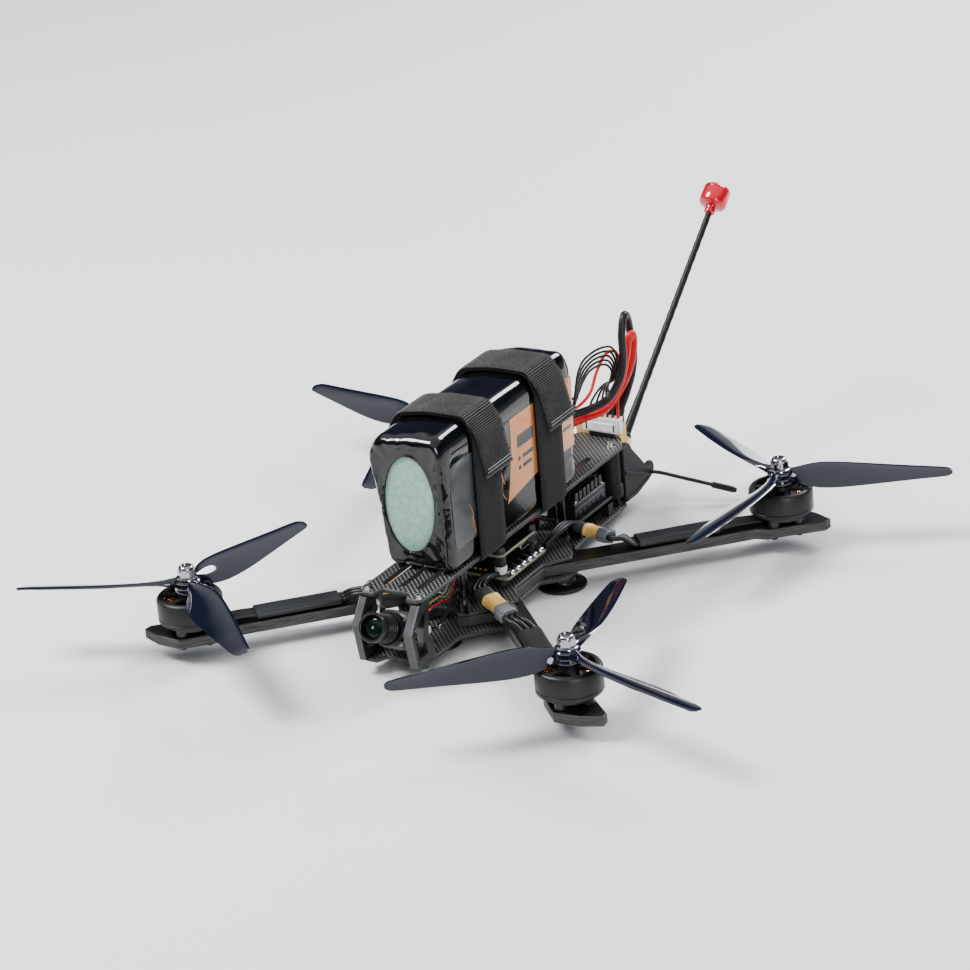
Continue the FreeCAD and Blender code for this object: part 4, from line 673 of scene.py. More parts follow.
def make_battery():
    """The wrapped pack with an oval window at each end that shows the fibre board."""
    rings = end_rings(PACK_FRONT, 1)[::-1]
    count = 62
    for k in range(count + 1):
        y = PACK_FRONT + PACK_RIM + (PACK_REAR - PACK_FRONT - 2 * PACK_RIM) * k / count
        rings.append(pack_ring(y))
    rings += end_rings(PACK_REAR, -1)
    pack = Shape().rings(rings, "wrap")
    pack.build("battery_wrap", "battery_pack", slot="pack_wrap", angle=60)
    for tag, face_y, inwards in (("front", PACK_FRONT, 1), ("rear", PACK_REAR, -1)):
        board = Shape()
        sheets = []
        for grow, depth in ((0.3, 1), (0.7, 0.95), (0.99, 1.05), (1.01, 1.3), (1.01, 2), (0.3, 2)):
            sheets.append([Vector((oval_point(p, grow).x, face_y + inwards * depth,
                                   oval_point(p, grow).y)) for p in PACK_LOOP])
        board.rings(sheets, "mint")
        board.build("battery_board_" + tag, slot="pack_wrap", angle=50)


def side_x(z):
    """Where the pack's left side is at a height."""
    best = min(((abs(p.y - z), i) for i, p in enumerate(PACK_LOOP) if p.x > 5))[1]
    a = PACK_LOOP[best]
    b = PACK_LOOP[(best + (1 if a.y < z else -1)) % len(PACK_LOOP)]
    t = 0 if abs(b.y - a.y) < 1e-6 else (z - a.y) / (b.y - a.y)
    return a.x + (b.x - a.x) * t


def side_patch(shape, size, mat, lift=0.14, cols=26, rows=18, bend=None):
    """A thin film on the pack's left side over a (y0, y1, z0, z1) area; bend moves its points."""
    y0, y1, z0, z1 = size

    def point(u, v, out):
        dy, dz = bend(u, v) if bend else (0, 0)
        y, z = y0 + (y1 - y0) * u + dy, z0 + (z1 - z0) * v + dz
        return Vector((side_x(z) + pack_swell(side_x(z), y, z) + out, y, z))

    n = cols + 1
    places = [(i / cols, j / rows) for j in range(rows + 1) for i in range(n)]
    verts = [point(u, v, out) for out in (lift, lift - 0.12) for u, v in places]
    off = n * (rows + 1)
    faces = []
    for j in range(rows):
        for i in range(cols):
            a = j * n + i
            faces.append((a, a + 1, a + n + 1, a + n))
            faces.append((off + a + n, off + a + n + 1, off + a + 1, off + a))
    rim = list(range(n)) + [j * n + cols for j in range(1, rows + 1)]
    rim += [rows * n + i for i in range(cols - 1, -1, -1)] + [j * n for j in range(rows - 1, 0, -1)]
    for k in range(len(rim)):
        a, b = rim[k], rim[(k + 1) % len(rim)]
        faces.append((b, a, off + a, off + b))
    shape.add(verts, faces, mat)


def label_bend(u, v):
    """Scoops the copper label's front edge and lifts its lower edge."""
    scoop = 7 * sin(pi * min(1, v * 0.62)) * (1 - u)
    rise = 5 * min(1, u * 2.4) ** 0.8 * (1 - v)
    return scoop, rise


def corner_bend(u, v):
    """Rounds the smoky label's front corners."""
    reach = 0.12
    tuck = max(0, 1 - min(v, 1 - v) / reach)
    return 3 * tuck ** 2.5 * (1 - u) ** 4, 0


def make_labels():
    """A copper-toned label with plain bars, a smoky one, and thin copper lines between them."""
    foil_label = Shape()
    side_patch(foil_label, (-8, 61, 58, 101.5), "foil", bend=label_bend)
    foil_label.build("battery_label_copper", slot="pack_wrap")
    bars = Shape()
    for size in ((5, 20.5, 83.5, 90), (9.5, 19.5, 76.5, 78.5), (9.5, 17.5, 71.5, 73.5), (50, 58, 74, 76)):
        side_patch(bars, size, "ink", 0.24, 8, 3)
    for z in (77.5, 72.5):
        side_patch(bars, (5.2, 7.2, z - 1, z + 1), "ink", 0.24, 3, 3)
    bars.build("battery_label_bars", slot="pack_wrap")
    smoke = Shape()
    side_patch(smoke, (-60, -38, 54, 99.5), "smoke", 0.15, bend=corner_bend)
    smoke.build("battery_label_smoke", slot="pack_wrap")
    lines = Shape()
    curves = (((-13, 92), (-11, 84), (-12.5, 77), (-10, 70)), ((-12, 96), (-8.5, 88), (-9.5, 80)),
              ((-13.5, 80), (-11.5, 74), (-12.5, 66), (-9.5, 61)),
              ((-44, 73), (-41.5, 67), (-42.5, 61), (-40, 57)), ((-43, 66), (-41, 62), (-41, 56)))
    for curve in curves:
        path = [Vector((side_x(z) + pack_swell(side_x(z), y, z) + 0.22, y, z)) for y, z in curve]
        lines.tube(path, 0.16, "foil", 6, 8)
    lines.build("battery_label_lines", slot="pack_wrap")


# ---- straps

def strap_loop(offset):
    """The strap's path around the pack and the top plate: (x, z) points, anticlockwise."""
    o = offset
    corners = [(-18.8 - o, ROOF - o, 2 + o), (18.8 + o, ROOF - o, 2 + o), (19.15 + o, 108 + o * 0.3, 17),
               (15 + o * 0.8, 115.9 + o, 6), (-6, 115.7 + o, 40), (-21.8 - o * 0.4, 113 + o, 10),
               (-27.5 - o, 103.5 + o * 0.2, 12)]
    return fillet_polygon(corners, 10)


def open_path(loop, start, stop, step):
    """Points at an even step along a closed loop between two shares of its length."""
    pts = [Vector(p) for p in loop] + [Vector(loop[0])]
    lengths = [0]
    for i in range(len(pts) - 1):
        lengths.append(lengths[-1] + (pts[i + 1] - pts[i]).length)
    total = lengths[-1]
    out, s, i = [], start * total, 0
    while s <= stop * total:
        m = s % total
        i = next(k for k in range(len(lengths) - 1) if lengths[k + 1] >= m - 1e-9)
        t = (m - lengths[i]) / max(lengths[i + 1] - lengths[i], 1e-9)
        out.append(pts[i].lerp(pts[i + 1], t))
        s += step
    return out


def band(shape, path, centre_y, width, thick, mat, shift=None, ridge=0, fray=0, closed=False):
    """A strap skinned along an (x, z) path; shift slides it along Y, ridge is its ribs' height."""
    cross = 10
    rings, ribs = [], []
    n = len(path)
    for i, p in enumerate(path):
        a, b = path[max(i - 1, 0)], path[min(i + 1, n - 1)]
        if closed:
            a, b = path[i - 1], path[(i + 1) % n]
        d = (b - a).normalized()
        out = Vector((d.y, -d.x))
        y_mid = centre_y + (shift(p) if shift else 0)
        crest = i % 2 == 0
        high = thick + (ridge if crest else -ridge)
        loop = (0.35 if crest else 0) if ridge else 0
        ring = []
        for k in range(cross + 1):
            u = k / cross
            rim = k in (0, cross)
            wobble = fray * noise.noise(Vector((i * 0.9, 5, centre_y + k))) if rim else 0
            ripple = 0.14 * noise.noise(Vector((i * 0.05, u * 2, centre_y)))
            y = y_mid + (u - 0.5) * (width - 0.2 + 2 * loop * rim) + wobble
            q = p + out * (high - 0.3 * rim + ripple)
            ring.append(Vector((q.x, y, q.y)))
        for k in range(cross, -1, -1):
            u = k / cross
            ripple = 0.14 * noise.noise(Vector((i * 0.05, u * 2, centre_y)))
            q = p + out * (0.12 + ripple)
            ring.append(Vector((q.x, y_mid + (u - 0.5) * (width - 0.2), q.y)))
        rings.append(ring)
        # the crest flag also marks where the webbing's painted shade falls between the ribs
        ribs += [float(crest) if ridge else 1] * len(ring)
    shape.rings(rings, mat, closed=closed, ribs=ribs)


def make_strap(tag, node, centre_y, slide):
    """One hook-and-loop strap: a closed looped layer, and a ribbed one over it, stitched at its end."""
    inner = strap_loop(0.25)
    tape = Shape()
    loop = open_path(inner, 0, 0.9999, 1.15)
    band(tape, loop, centre_y, 25, 1, "fuzz", closed=True, fray=0.12)
    tape.build("strap_tape_" + tag, node, slot="webbing", angle=70)
    outer = strap_loop(1.5)
    length = open_path(outer, 0, 0.9999, 0.56)
    right = [i for i, p in enumerate(length) if p.x > 15 and p.y > 82]
    left = [i for i, p in enumerate(length) if p.x < -15 and p.y > 47]
    path = length[right[0]:left[-1]]

    def skew(p):
        drop = min(1, max(0, (114 - p.y) / 32)) if p.x > 0 else 0
        return slide * drop

    ribbed = Shape()
    band(ribbed, path, centre_y, 25.2, 1.05, "ribbed", skew, ridge=0.26, fray=0.08)
    ribbed.build("strap_webbing_" + tag, slot="webbing", angle=80)
    stitches = Shape()
    end = path[0]
    for row in (2.2, 3.8):
        for k in range(16):
            y = centre_y + slide - 11.4 + 1.52 * k
            z = end.y + row
            stitches.tube([(end.x + 1.15, y, z), (end.x + 1.4, y + 0.45, z), (end.x + 1.15, y + 0.9, z)],
                          0.3, "thread", 6, 2)
    hem = [(end.x + 0.55, centre_y + slide - 12.6 + 25.2 * k / 6, end.y - 0.2) for k in range(7)]
    stitches.tube(hem, 0.75, "ribbed", 10, 3)
    stitches.build("strap_stitching_" + tag, slot="webbing")


# ---- motors and propellers

# the blade's sections: share of its reach, chord, thickness, pitch and sweep
BLADE = (
    (0.045, 8.4, 5.6, 34, 0.4), (0.085, 8.6, 4.8, 33, 0.8), (0.13, 12.2, 3.6, 30.5, 0.8),
    (0.18, 15.4, 2.9, 28.5, 0.7), (0.24, 17.7, 2.4, 26, 0.5), (0.34, 18.6, 2.1, 22.5, 0.2),
    (0.45, 18, 1.9, 19, 0), (0.58, 16.2, 1.7, 16, 0), (0.72, 13.8, 1.5, 13, 0),
    (0.84, 11.6, 1.25, 11, 0), (0.92, 10, 1.1, 10, 0), (0.965, 8.6, 0.95, 9.5, 0),
    (0.985, 6.8, 0.8, 9.3, 0), (1, 3.4, 0.6, 9, 0),
)
# a section's outline, as shares of its chord and thickness
PROFILE = ((0, 0), (0.03, 0.3), (0.1, 0.55), (0.22, 0.72), (0.38, 0.76), (0.55, 0.66), (0.72, 0.48),
           (0.88, 0.24), (1, 0.05), (0.99, -0.05), (0.85, 0.04), (0.65, 0.08), (0.45, 0.02), (0.25, -0.12),
           (0.1, -0.24), (0.03, -0.18))


def blade_section(share):
    """Chord, thickness, pitch and sweep at a share of the blade's reach."""
    last = len(BLADE) - 1
    i = next(k for k in range(last) if share <= BLADE[k + 1][0])
    t = (share - BLADE[i][0]) / (BLADE[i + 1][0] - BLADE[i][0])
    a, b, c, d = BLADE[max(i - 1, 0)], BLADE[i], BLADE[i + 1], BLADE[min(i + 2, last)]
    return [between(a[k], b[k], c[k], d[k], t) for k in range(1, 5)]


def make_propeller(name, x, y, spin, angle):
    shares = [0.045 + 0.92 * k / 40 for k in range(41)] + [0.972, 0.979, 0.985, 0.990, 0.994, 0.997, 1]
    prop = Shape()
    hub_low = DECK + 20.4
    for blade in range(3):
        turn = at(x, y, hub_low + 3.75) @ Matrix.Rotation(radians(angle + 120 * blade), 4, "Z")
        rings = []
        for share in shares:
            chord, thick, pitch, sweep = blade_section(share)
            rise = radians(pitch)
            ring = []
            for along, height in PROFILE:
                across, lift = chord * (0.5 - along), thick * height
                by = across * cos(rise) - lift * sin(rise) + sweep
                bz = across * sin(rise) + lift * cos(rise) - 1.3 * share
                ring.append((TIP_RADIUS * share, spin * by, bz))
            rings.append(ring)
        prop.rings(rings, "blade", turn)
    hub = [(2.6, 0), (6.2, 0), (6.7, 0.5), (6.7, 2.2), (6.3, 2.7), (6.3, 4.8), (6.7, 5.3), (6.7, 6.9),
           (6.1, 7.5), (4.6, 7.5), (4.4, 7.2), (2.6, 7.2)]
    prop.lathe(hub, "blade", at(x, y, hub_low), 56, True)
    prop.build("propeller_blades_" + name, "propeller_" + name, slot="propeller", angle=40,
               body="rotor_" + name)
    nut = Shape()
    low = hub_low + 7.5
    m = at(x, y, low) @ Matrix.Rotation(0.4, 4, "Z")
    nut.lathe([(2.55, 0), (5.3, 0), (5.6, 0.35), (5.4, 0.9), (4.4, 1.35), (2.55, 1.35)], "chrome", m, 48,
              True)
    nut.hexagon(8, 1, 5, "chrome", m, 0.45)
    nut.lathe([(2.55, 4.6), (4, 4.6), (4.05, 5.4), (3.8, 6.2), (3.2, 6.85), (2.55, 7)], "chrome", m, 40,
              True)
    nut.lathe([(0.2, 0.5), (2.5, 0.5), (2.5, 5.9), (2.1, 6.35), (0.2, 6.35)], "steel", m, 32)
    nut.build("propeller_nut_" + name, "prop_nut_" + name, slot="nut", body="rotor_" + name)


def make_bell(name, x, y):
    """The can with its ring groove, magnets and a spoked top."""
    bell = Shape()
    m = at(x, y, DECK)
    can = [(15.85, 6.1), (16.35, 6.1), (16.7, 6.5), (16.7, 8.2), (16.52, 8.35), (16.52, 8.75), (16.7, 8.9),
           (16.7, 17.6), (15.9, 18.75), (15.3, 19.1), (13.5, 19.1), (13.3, 18.8), (13.3, 17), (13.6, 16.75),
           (15.85, 16.75)]
    bell.lathe(can, "bell", m, 96, True)
    hub = [(2.05, 16.6), (6.4, 16.6), (6.7, 17), (6.7, 18.6), (6.3, 19.3), (6.2, 20.2), (6, 20.4),
           (2.05, 20.4)]
    bell.lathe(hub, "bell", m, 48, True)
    for k in range(6):
        turn = m @ Matrix.Rotation(TAU * k / 6 + 0.26, 4, "Z")
        arm = [(5.8, -1.9), (8.5, -1.25), (13.8, -1.6), (13.8, 1.6), (8.5, 1.25), (5.8, 1.9)]
        bell.prism(arm, 16.8, 18.7, "bell", turn, 0.35)
    for k in range(14):
        turn = turned(m, k / 14)
        bell.box((1.2, 5.2, 8.2), (14.98, 0, 11), "magnet", turn, 0.15)
    bell.build("bell_" + name + "_shell", "bell_" + name, slot="black_alloy", body="rotor_" + name)


def make_stator(x, y, shape):
    """Laminated core with twelve wound teeth."""
    m = at(x, y, DECK)
    shape.lathe([(6.05, 7.4), (8.1, 7.4), (8.1, 14.6), (6.05, 14.6)], "lamination", m, 48, True)
    for k in range(12):
        turn = turned(m, k / 12)
        shape.box((4.6, 1.7, 7), (10.3, 0, 11), "lamination", turn, 0.15)
        shoe = [(12.4, -1.2), (13, -3.1), (13.85, -3.25), (13.95, 0), (13.85, 3.25), (13, 3.1), (12.4, 1.2)]
        shape.prism(shoe, 7.4, 14.6, "lamination", turn, 0.1)
        for layer in range(6):
            r = 8.6 + 0.72 * layer
            half_w = 1.15 + 0.1 * layer
            loop = rounded((half_w * 2 + 0.7, 8.6), 0.9, 2, (0, 11))
            path = [(r, a, b) for a, b in loop] + [(r, loop[0][0], loop[0][1])]
            shape.tube(path, 0.36, "copper", 6, 1, turn)


def make_motor_bases():
    """Black base with a spoked floor, four bolt feet and a flange under each stator."""
    for name, x, y, *_ in CORNERS:
        base = Shape()
        m = at(x, y, DECK)
        base.lathe([(4.55, 0.8), (6.4, 0.8), (7, 1.4), (7, 3.2), (6, 3.8), (6, 16.3), (4.55, 16.3)],
                   "alloy", m, 48, True)
        base.lathe([(10.4, 3), (12, 3), (12.4, 3.4), (12.4, 4.4), (12, 4.8), (10.4, 4.8)], "alloy", m, 64,
                   True)
        for k in range(4):
            turn = turned(m, k / 4)
            foot = [(1.6, 0), (2.9, 0), (3.2, 0.3), (3.2, 4.4), (2.8, 4.8), (1.6, 4.8)]
            base.lathe(foot, "alloy", turn @ at(9.5, 0, 0), 32, True)
            base.box((5.4, 3.8, 2.6), (7.4, 0, 2.6), "alloy", turn, 0.4)
            arm = [(5.6, -1), (11, -1.3), (11, 1.3), (5.6, 1)]
            base.prism(arm, 3.2, 4.6, "alloy", turned(turn, 1 / 8), 0.2)
        base.build("motor_base_" + name + "_casting", "motor_base_" + name, slot="black_alloy")
        stator = Shape()
        make_stator(x, y, stator)
        stands_for = ["stators"] if name == CORNERS[0][0] else []
        stator.build("stator_" + name, *stands_for, slot="winding")


# ---- leads, plugs and sleeves

RED_LEAD = ((-3, 64.6, 63), (3, 75, 64.5), (11, 85, 67), (16, 99, 67.5), (20.3, 107.5, 78.5),
            (23.3, 110.5, 92.3), (25, 111, 101.5), (26.3, 113.2, 105.6), (25.8, 115.8, 101.5),
            (23, 118, 90.5), (18.2, 119.8, 79), (11, 122.5, 67), (5.2, 124.2, 57.5), (4.4, 124.3, 49.3))
BLACK_LEAD = ((2.5, 64.6, 71), (7, 75, 71.5), (13.6, 85, 72.2), (18.5, 97, 74), (23.4, 102.5, 84),
              (25.7, 103.5, 95), (25.3, 104.5, 107), (24.8, 107.5, 114.5), (24.3, 111, 117),
              (23.6, 115, 113), (22.4, 119, 102), (21, 123, 90), (18, 125, 78), (13.4, 126, 66),
              (9.6, 124.8, 56), (9.1, 124.3, 49.3))


def make_leads():
    """Thick silicone wires with heat-shrink at the plug, and the pair that runs inside."""
    leads = Shape()
    leads.tube(RED_LEAD, 2.08, "red", 20, 8)
    leads.tube(BLACK_LEAD, 2.08, "black", 20, 8)
    for path, x in ((RED_LEAD, 4.4), (BLACK_LEAD, 9.1)):
        leads.tube([path[-2], (x, 124.3, 53), path[-1]], lambda t: 2.45 - 0.15 * abs(sin(9 * t)), "sleeve",
                   20, 6)
    for side in (-1, 1):
        inside = [(3.2, 20.6, 24.6), (3.2, 27, 26), (3.4, 48, 33), (3.4, 60, 34.4), (3.4, 82, 34.4),
                  (3.4, 104, 34.6), (3.4, 119, 36.4)]
        leads.tube([(side * x, y, z) for x, y, z in inside], 1.98, "red" if side > 0 else "black", 16, 6)
    leads.build("power_lead_wires", "power_leads", slot="wire")


def make_plugs():
    """The main plug halves behind the white seven-way balance plug and its looped wires."""
    main = Shape()
    turn = turned(at(0, PLUG_Y, PLUG_Z), 1 / 4, "X")

    def half(x0, x1):
        return [(x0, -6.9), (x1 - 1.6, -6.9), (x1, -5.3), (x1, 5.3), (x1 - 1.6, 6.9), (x0, 6.9)]

    main.prism(half(-4, 10.4), -3.85, 3.85, "tan", turn, 0.5)
    flipped = [(-10 - x, z) for x, z in half(-4, 6.4)][::-1]
    main.prism(flipped, -3.85, 3.85, "tan", turn, 0.5)
    main.box((3.2, 6.6, 12.6), (-5, PLUG_Y, PLUG_Z), "grey")
    for k in range(3):
        main.box((0.7, 8.1, 10), (3 + 2 * k, PLUG_Y, PLUG_Z), "tan", None, 0.25)
    main.build("main_plug_halves", "battery_plug", slot="plug")

    plug = Shape()
    low = 45.8
    wall = 0.9
    for y in (114.6 + wall / 2, 120.2 - wall / 2):
        plug.box((22, wall, 8.4), (2.3, y, low + 4.2), "white", None, 0.22)
    for x in (-8.7 + wall / 2, 13.3 - wall / 2):
        plug.box((wall, 5.4, 8.4), (x, BALANCE_Y, low + 4.2), "white", None, 0.22)
    plug.box((20.6, 4.2, 6.6), (2.3, BALANCE_Y, low + 3.5), "white", None, 0.2)
    for k in range(8):
        plug.box((0.9, 5.5, 1.5), (-8.3 + 3.03 * k, BALANCE_Y, low + 7.9), "white", None, 0.2)
    plug.box((18.5, 0.5, 4.6), (2.3, 114.45, low + 3.2), "white", None, 0.18)
    for x in (-5.9, 10.5):
        plug.box((1.2, 0.6, 8), (x, 114.5, low + 4.2), "white", None, 0.2)
    # a black block filling the gap between the top plate and the balance plug: a dark piece put where the
    # plug's shadow falls, painted shadow
    plug.box((15.6, 3.8, 3.2), (2.3, BALANCE_Y, 44.4), "sleeve", None, 0.6)
    plug.build("balance_plug_housing", slot="plug")

    wires = Shape()
    for n in range(5):
        slot_x = 9 - 3.2 * n
        path = [(9 + 1.7 * n, 64.6, 58 + 3 * n), (12.5 + 1.2 * n, 76 - 1.2 * n, 82 + 4.2 * n),
                (13.6 + 1.2 * n, 88 - 0.8 * n, 92 + 3.2 * n), (18.5 + 1.2 * n, 96, 94 + 2.6 * n),
                (19.5 + 0.5 * n, 101.5 + 0.9 * n, 88.5 + 0.9 * n), (16.6 + 0.3 * n, 104 + 0.8 * n, 81.5),
                (11.5 - 1.2 * n, 110 + 0.6 * n, 74), (slot_x, BALANCE_Y, 61), (slot_x, BALANCE_Y, 54)]
        wires.tube(path, 0.6, "black", 10, 9)
    path = [(8, 64.6, 78), (11, 78, 76), (13, 89, 80), (14, 95, 89), (16.6, 101, 97.5), (20, 106, 97.5),
            (19, 110.5, 88), (14.5, 115.5, 74), (12.2, BALANCE_Y, 60), (12.2, BALANCE_Y, 54)]
    wires.tube(path, 0.85, "red", 10, 9)
    wires.build("balance_wires", "balance_lead", slot="wire")


# by front (-1) and rear (1) arm: the plugs' roll, then their start and end in plan with two heights
PLUG_ROLL = {-1: 0, 1: -23}
PLUG_RUNS = {-1: ((19, -41), (42, -53), 24, 20), 1: ((22, 51), (43, 48.5), 21.5, 19.5)}


def oval(width, height, steps=8):
    return rounded((width, height), min(width, height) / 2 - 0.05, steps)


def run_frame(start, end):
    """Local X along the run, Y level, Z up."""
    x = (end - start).normalized()
    y = Vector((0, 0, 1)).cross(x).normalized()
    z = x.cross(y)
    m = Matrix((x, y, z)).transposed().to_4x4()
    m.translation = start
    return m


def loft(shape, sections, mat, m):
    """Rings from (distance, width, height) rows, rounded like a flat oval."""
    rings = [[(d, w, h) for w, h in oval(width, height)] for d, width, height in sections]
    shape.rings(rings, mat, m)


def make_arm_wiring():
    """Bullet-plug pairs, the three wires of each motor and the flat heat-shrink along each arm."""
    plugs, wires, sleeves = Shape(), Shape(), Shape()
    for _, cx, cy, *_ in CORNERS:
        sx, sy = (1 if cx > 0 else -1), (1 if cy > 0 else -1)
        (x0, y0), (x1, y1), z0, z1 = PLUG_RUNS[sy]
        start, end = Vector((sx * x0, y0, z0)), Vector((sx * x1, y1, z1))
        m = run_frame(start, end) @ Matrix.Rotation(radians(PLUG_ROLL[sy] * sx), 4, "X")
        length = (end - start).length
        a, b = 0.3 * length, 0.70 * length
        loft(plugs, ((0, 8.6, 5.2), (0.4, 9.4, 5.8), (a - 0.6, 9.6, 6), (a, 9.4, 5.8)), "grey", m)
        loft(plugs,
             ((a - 0.1, 9.6, 6.2), (a + 0.3, 10.4, 6.8), (a + 1.5, 10.4, 6.8), (a + 1.8, 9.9, 6.4),
              (b - 0.9, 9.7, 6.2), (b - 0.6, 10.1, 6.5), (b, 10.1, 6.5)), "tan", m)
        loft(plugs, ((b, 9.7, 6.2), (b + 0.3, 10, 6.5), (length - 0.5, 10.2, 6.7), (length, 9.7, 6.2)),
             "grey_end", m)
        for k in range(7):
            across = -4.2 + 1.4 * k
            plugs.box((length - b - 1.2, 0.5, 6.9), ((b + length) / 2, across, 0), "grey_end", m, 0.12)
        lean = Vector((sx, sy, 0)).normalized()
        across = Vector((-lean.y, lean.x, 0))
        motor = Vector((cx, cy, DECK + 2.35))
        begin = motor - lean * (76 if sy < 0 else 79)
        sleeve = run_frame(begin, begin + lean)
        rows = [(0, 11.6, 3.6), (0.5, 12.4, 4.4), (14, 12.2, 4.5), (30, 12.4, 4.6), (43.5, 12.3, 4.4),
                (44, 11.4, 3.6)]
        loft(sleeves, rows, "sleeve", sleeve)
        side, way = m.col[1].xyz, m.col[0].xyz
        for number in (-1, 0, 1):
            out = end + side * (3.3 * number) - way * 1
            enter = begin + across * (3.5 * number) + lean * 1
            wires.tube([out, out + way * 3.5, (out + enter) / 2 + Vector((0, 0, 0.8)), enter - lean * 3.5,
                        enter], 1.3, "black", 12, 6)
            leave = begin + lean * 43 + across * (3.5 * number)
            reach = motor - lean * 12.6 + across * (3 * number)
            wires.tube([leave, (leave + reach) / 2 + Vector((0, 0, 0.5)), reach], 1.3, "black", 12, 6)
            inner = start + side * (3 * number) + way * 1
            if sy < 0:
                goal = Vector((sx * 15, -19.5 + 1 * number, 23.3))
                mid = Vector((sx * (15.5 + 1.5 * number), -31, 27))
            else:
                goal = Vector((sx * (20 + 0.4 * number), 20.6, 22.9))
                mid = Vector((sx * (20 + 2 * number), 38, 26))
            wires.tube([inner, inner - way * 4 + Vector((0, 0, 1)), mid, goal], 1.3, "black", 12, 6)
    plugs.build("motor_plug_shells", "motor_connectors", slot="plug")
    wires.build("motor_wire_runs", "motor_wires", slot="wire")
    sleeves.build("motor_sleeves", slot="sleeve")


def make_camera_cable():
    """Loose signal wires that loop down to a small plug behind the camera."""
    cable = Shape()
    for n, mat in enumerate(("nylon", "yellow", "red_cap")):
        drop = 0.6 + 2.4 * n
        path = [(2 + 2 * n, -18.8, 32.8), (1 + 1.6 * n, -38, 29), (5 + 1.5 * n, -54, 27 - 1.4 * n),
                (7 + 0.9 * n, -63, 31.6 - 2.4 * n), (5 + 1.2 * n, -70.8, 30 - 2 * n), (drop, -73.6, 22),
                (drop, -73.6, 17.2)]
        cable.tube(path, 0.5, mat, 10, 8)
    lead = [(9.5, -20.2, 21.6), (10, -36, 24), (9, -50, 24.6), (9, -58, 19.8), (8.8, -68, 14.6)]
    cable.tube(lead, 0.9, "black", 10, 8)
    cable.box((8.8, 2.8, 3.8), (3, -73.6, 15.4), "white", None, 0.3)
    cable.box((2.4, 2.8, 1.9), (8.9, -67.4, 15.2), "solder", None, 0.3)
    cable.build("camera_cable_wires", "camera_cable", slot="wire")


# ---- camera

CAMERA_UP = 27
LOOK = at(0, -88.2, 20.7) @ Matrix.Rotation(radians(90 - CAMERA_UP), 4, "X")


def make_camera_body():
    """Rounded case, and a lens in a ribbed barrel. Local Z looks forwards."""
    case = Shape()
    rings = []
    rows = ((-8.5, 12.2), (-8.2, 13.2), (-5, 17.4), (-4.4, 18.6), (5, 19), (6.6, 18.4), (7.8, 17),
            (8.5, 15))
    for depth, width in rows:
        rings.append([(x, y, depth) for x, y in rounded((width, width), width * 0.24, 5)])
    case.rings(rings, "case", LOOK)
    for k in range(4):
        turn = turned(LOOK, k / 4) @ at(6.3, 6.3, 8.3)
        case.lathe([(0.15, -0.4), (1, -0.4), (1, 0.3), (0.7, 0.55), (0.15, 0.4)], "steel", turn, 16)
    case.box((9, 4, 2.4), (0, -4, -7.9), "white", LOOK, 0.3)
    for side in (-1, 1):
        boss = turned(LOOK, side / 4, "Y") @ at(0, 0, 9.2)
        case.lathe([(1.2, 0), (3, 0), (3, 0.2), (2.8, 0.35), (1.2, 0.35)], "case", boss, 32, True)
    case.build("camera_case", "camera_body", slot="camera_case", body="camera")

    lens = Shape()
    barrel = [(5.9, 8.4), (8.4, 8.4), (8.6, 8.8), (8.6, 12.4), (8.1, 13.1), (7, 13.2), (7, 14)]
    for k in range(5):
        z = 14.2 + 1.85 * k
        barrel += [(7, z), (7.35, z + 0.25), (7.35, z + 0.85), (7, z + 1.1)]
    barrel += [(7, 23.9), (7.3, 24.1), (7.45, 24.6), (7.45, 28.1), (7.1, 28.55), (6.5, 28.6), (6.2, 28.3),
               (6, 26.6), (5.9, 25.2)]
    lens.lathe(barrel, "lens_black", LOOK, 72, True)
    for radius, depth in ((5.4, 24.9), (4.4, 23.9)):
        lens.lathe([(radius, depth), (5.95, depth + 0.5), (5.95, depth + 0.1), (radius, depth - 0.2)],
                   "lens_black", LOOK, 56, True)
    lens.build("camera_lens_barrel", "camera_lens", slot="camera_case", body="camera")

    glass = Shape()
    dome = [(5.75 * sin(a), 25.3 + 1.7 * cos(a)) for a in (0.2, 0.45, 0.7, 0.95, 1.2, 1.45)]
    glass.lathe([(0.05, 27)] + dome + [(5.8, 25), (0.05, 25)], "glass", LOOK, 56)
    glass.build("camera_front_glass", slot="camera_case", body="camera")
    # a small warm disc on the crown of the front glass: painted reflection
    painted_glint_disc = Shape()
    painted_glint_disc.lathe([(0.05, 27.1), (0.5, 27.08), (0.7, 27.02), (0.7, 26.9), (0.05, 26.9)], "painted_glint", LOOK, 32)
    painted_glint_disc.build("camera_lens_painted_glint", slot="camera_case", body="camera")


# ---- boards in the stack

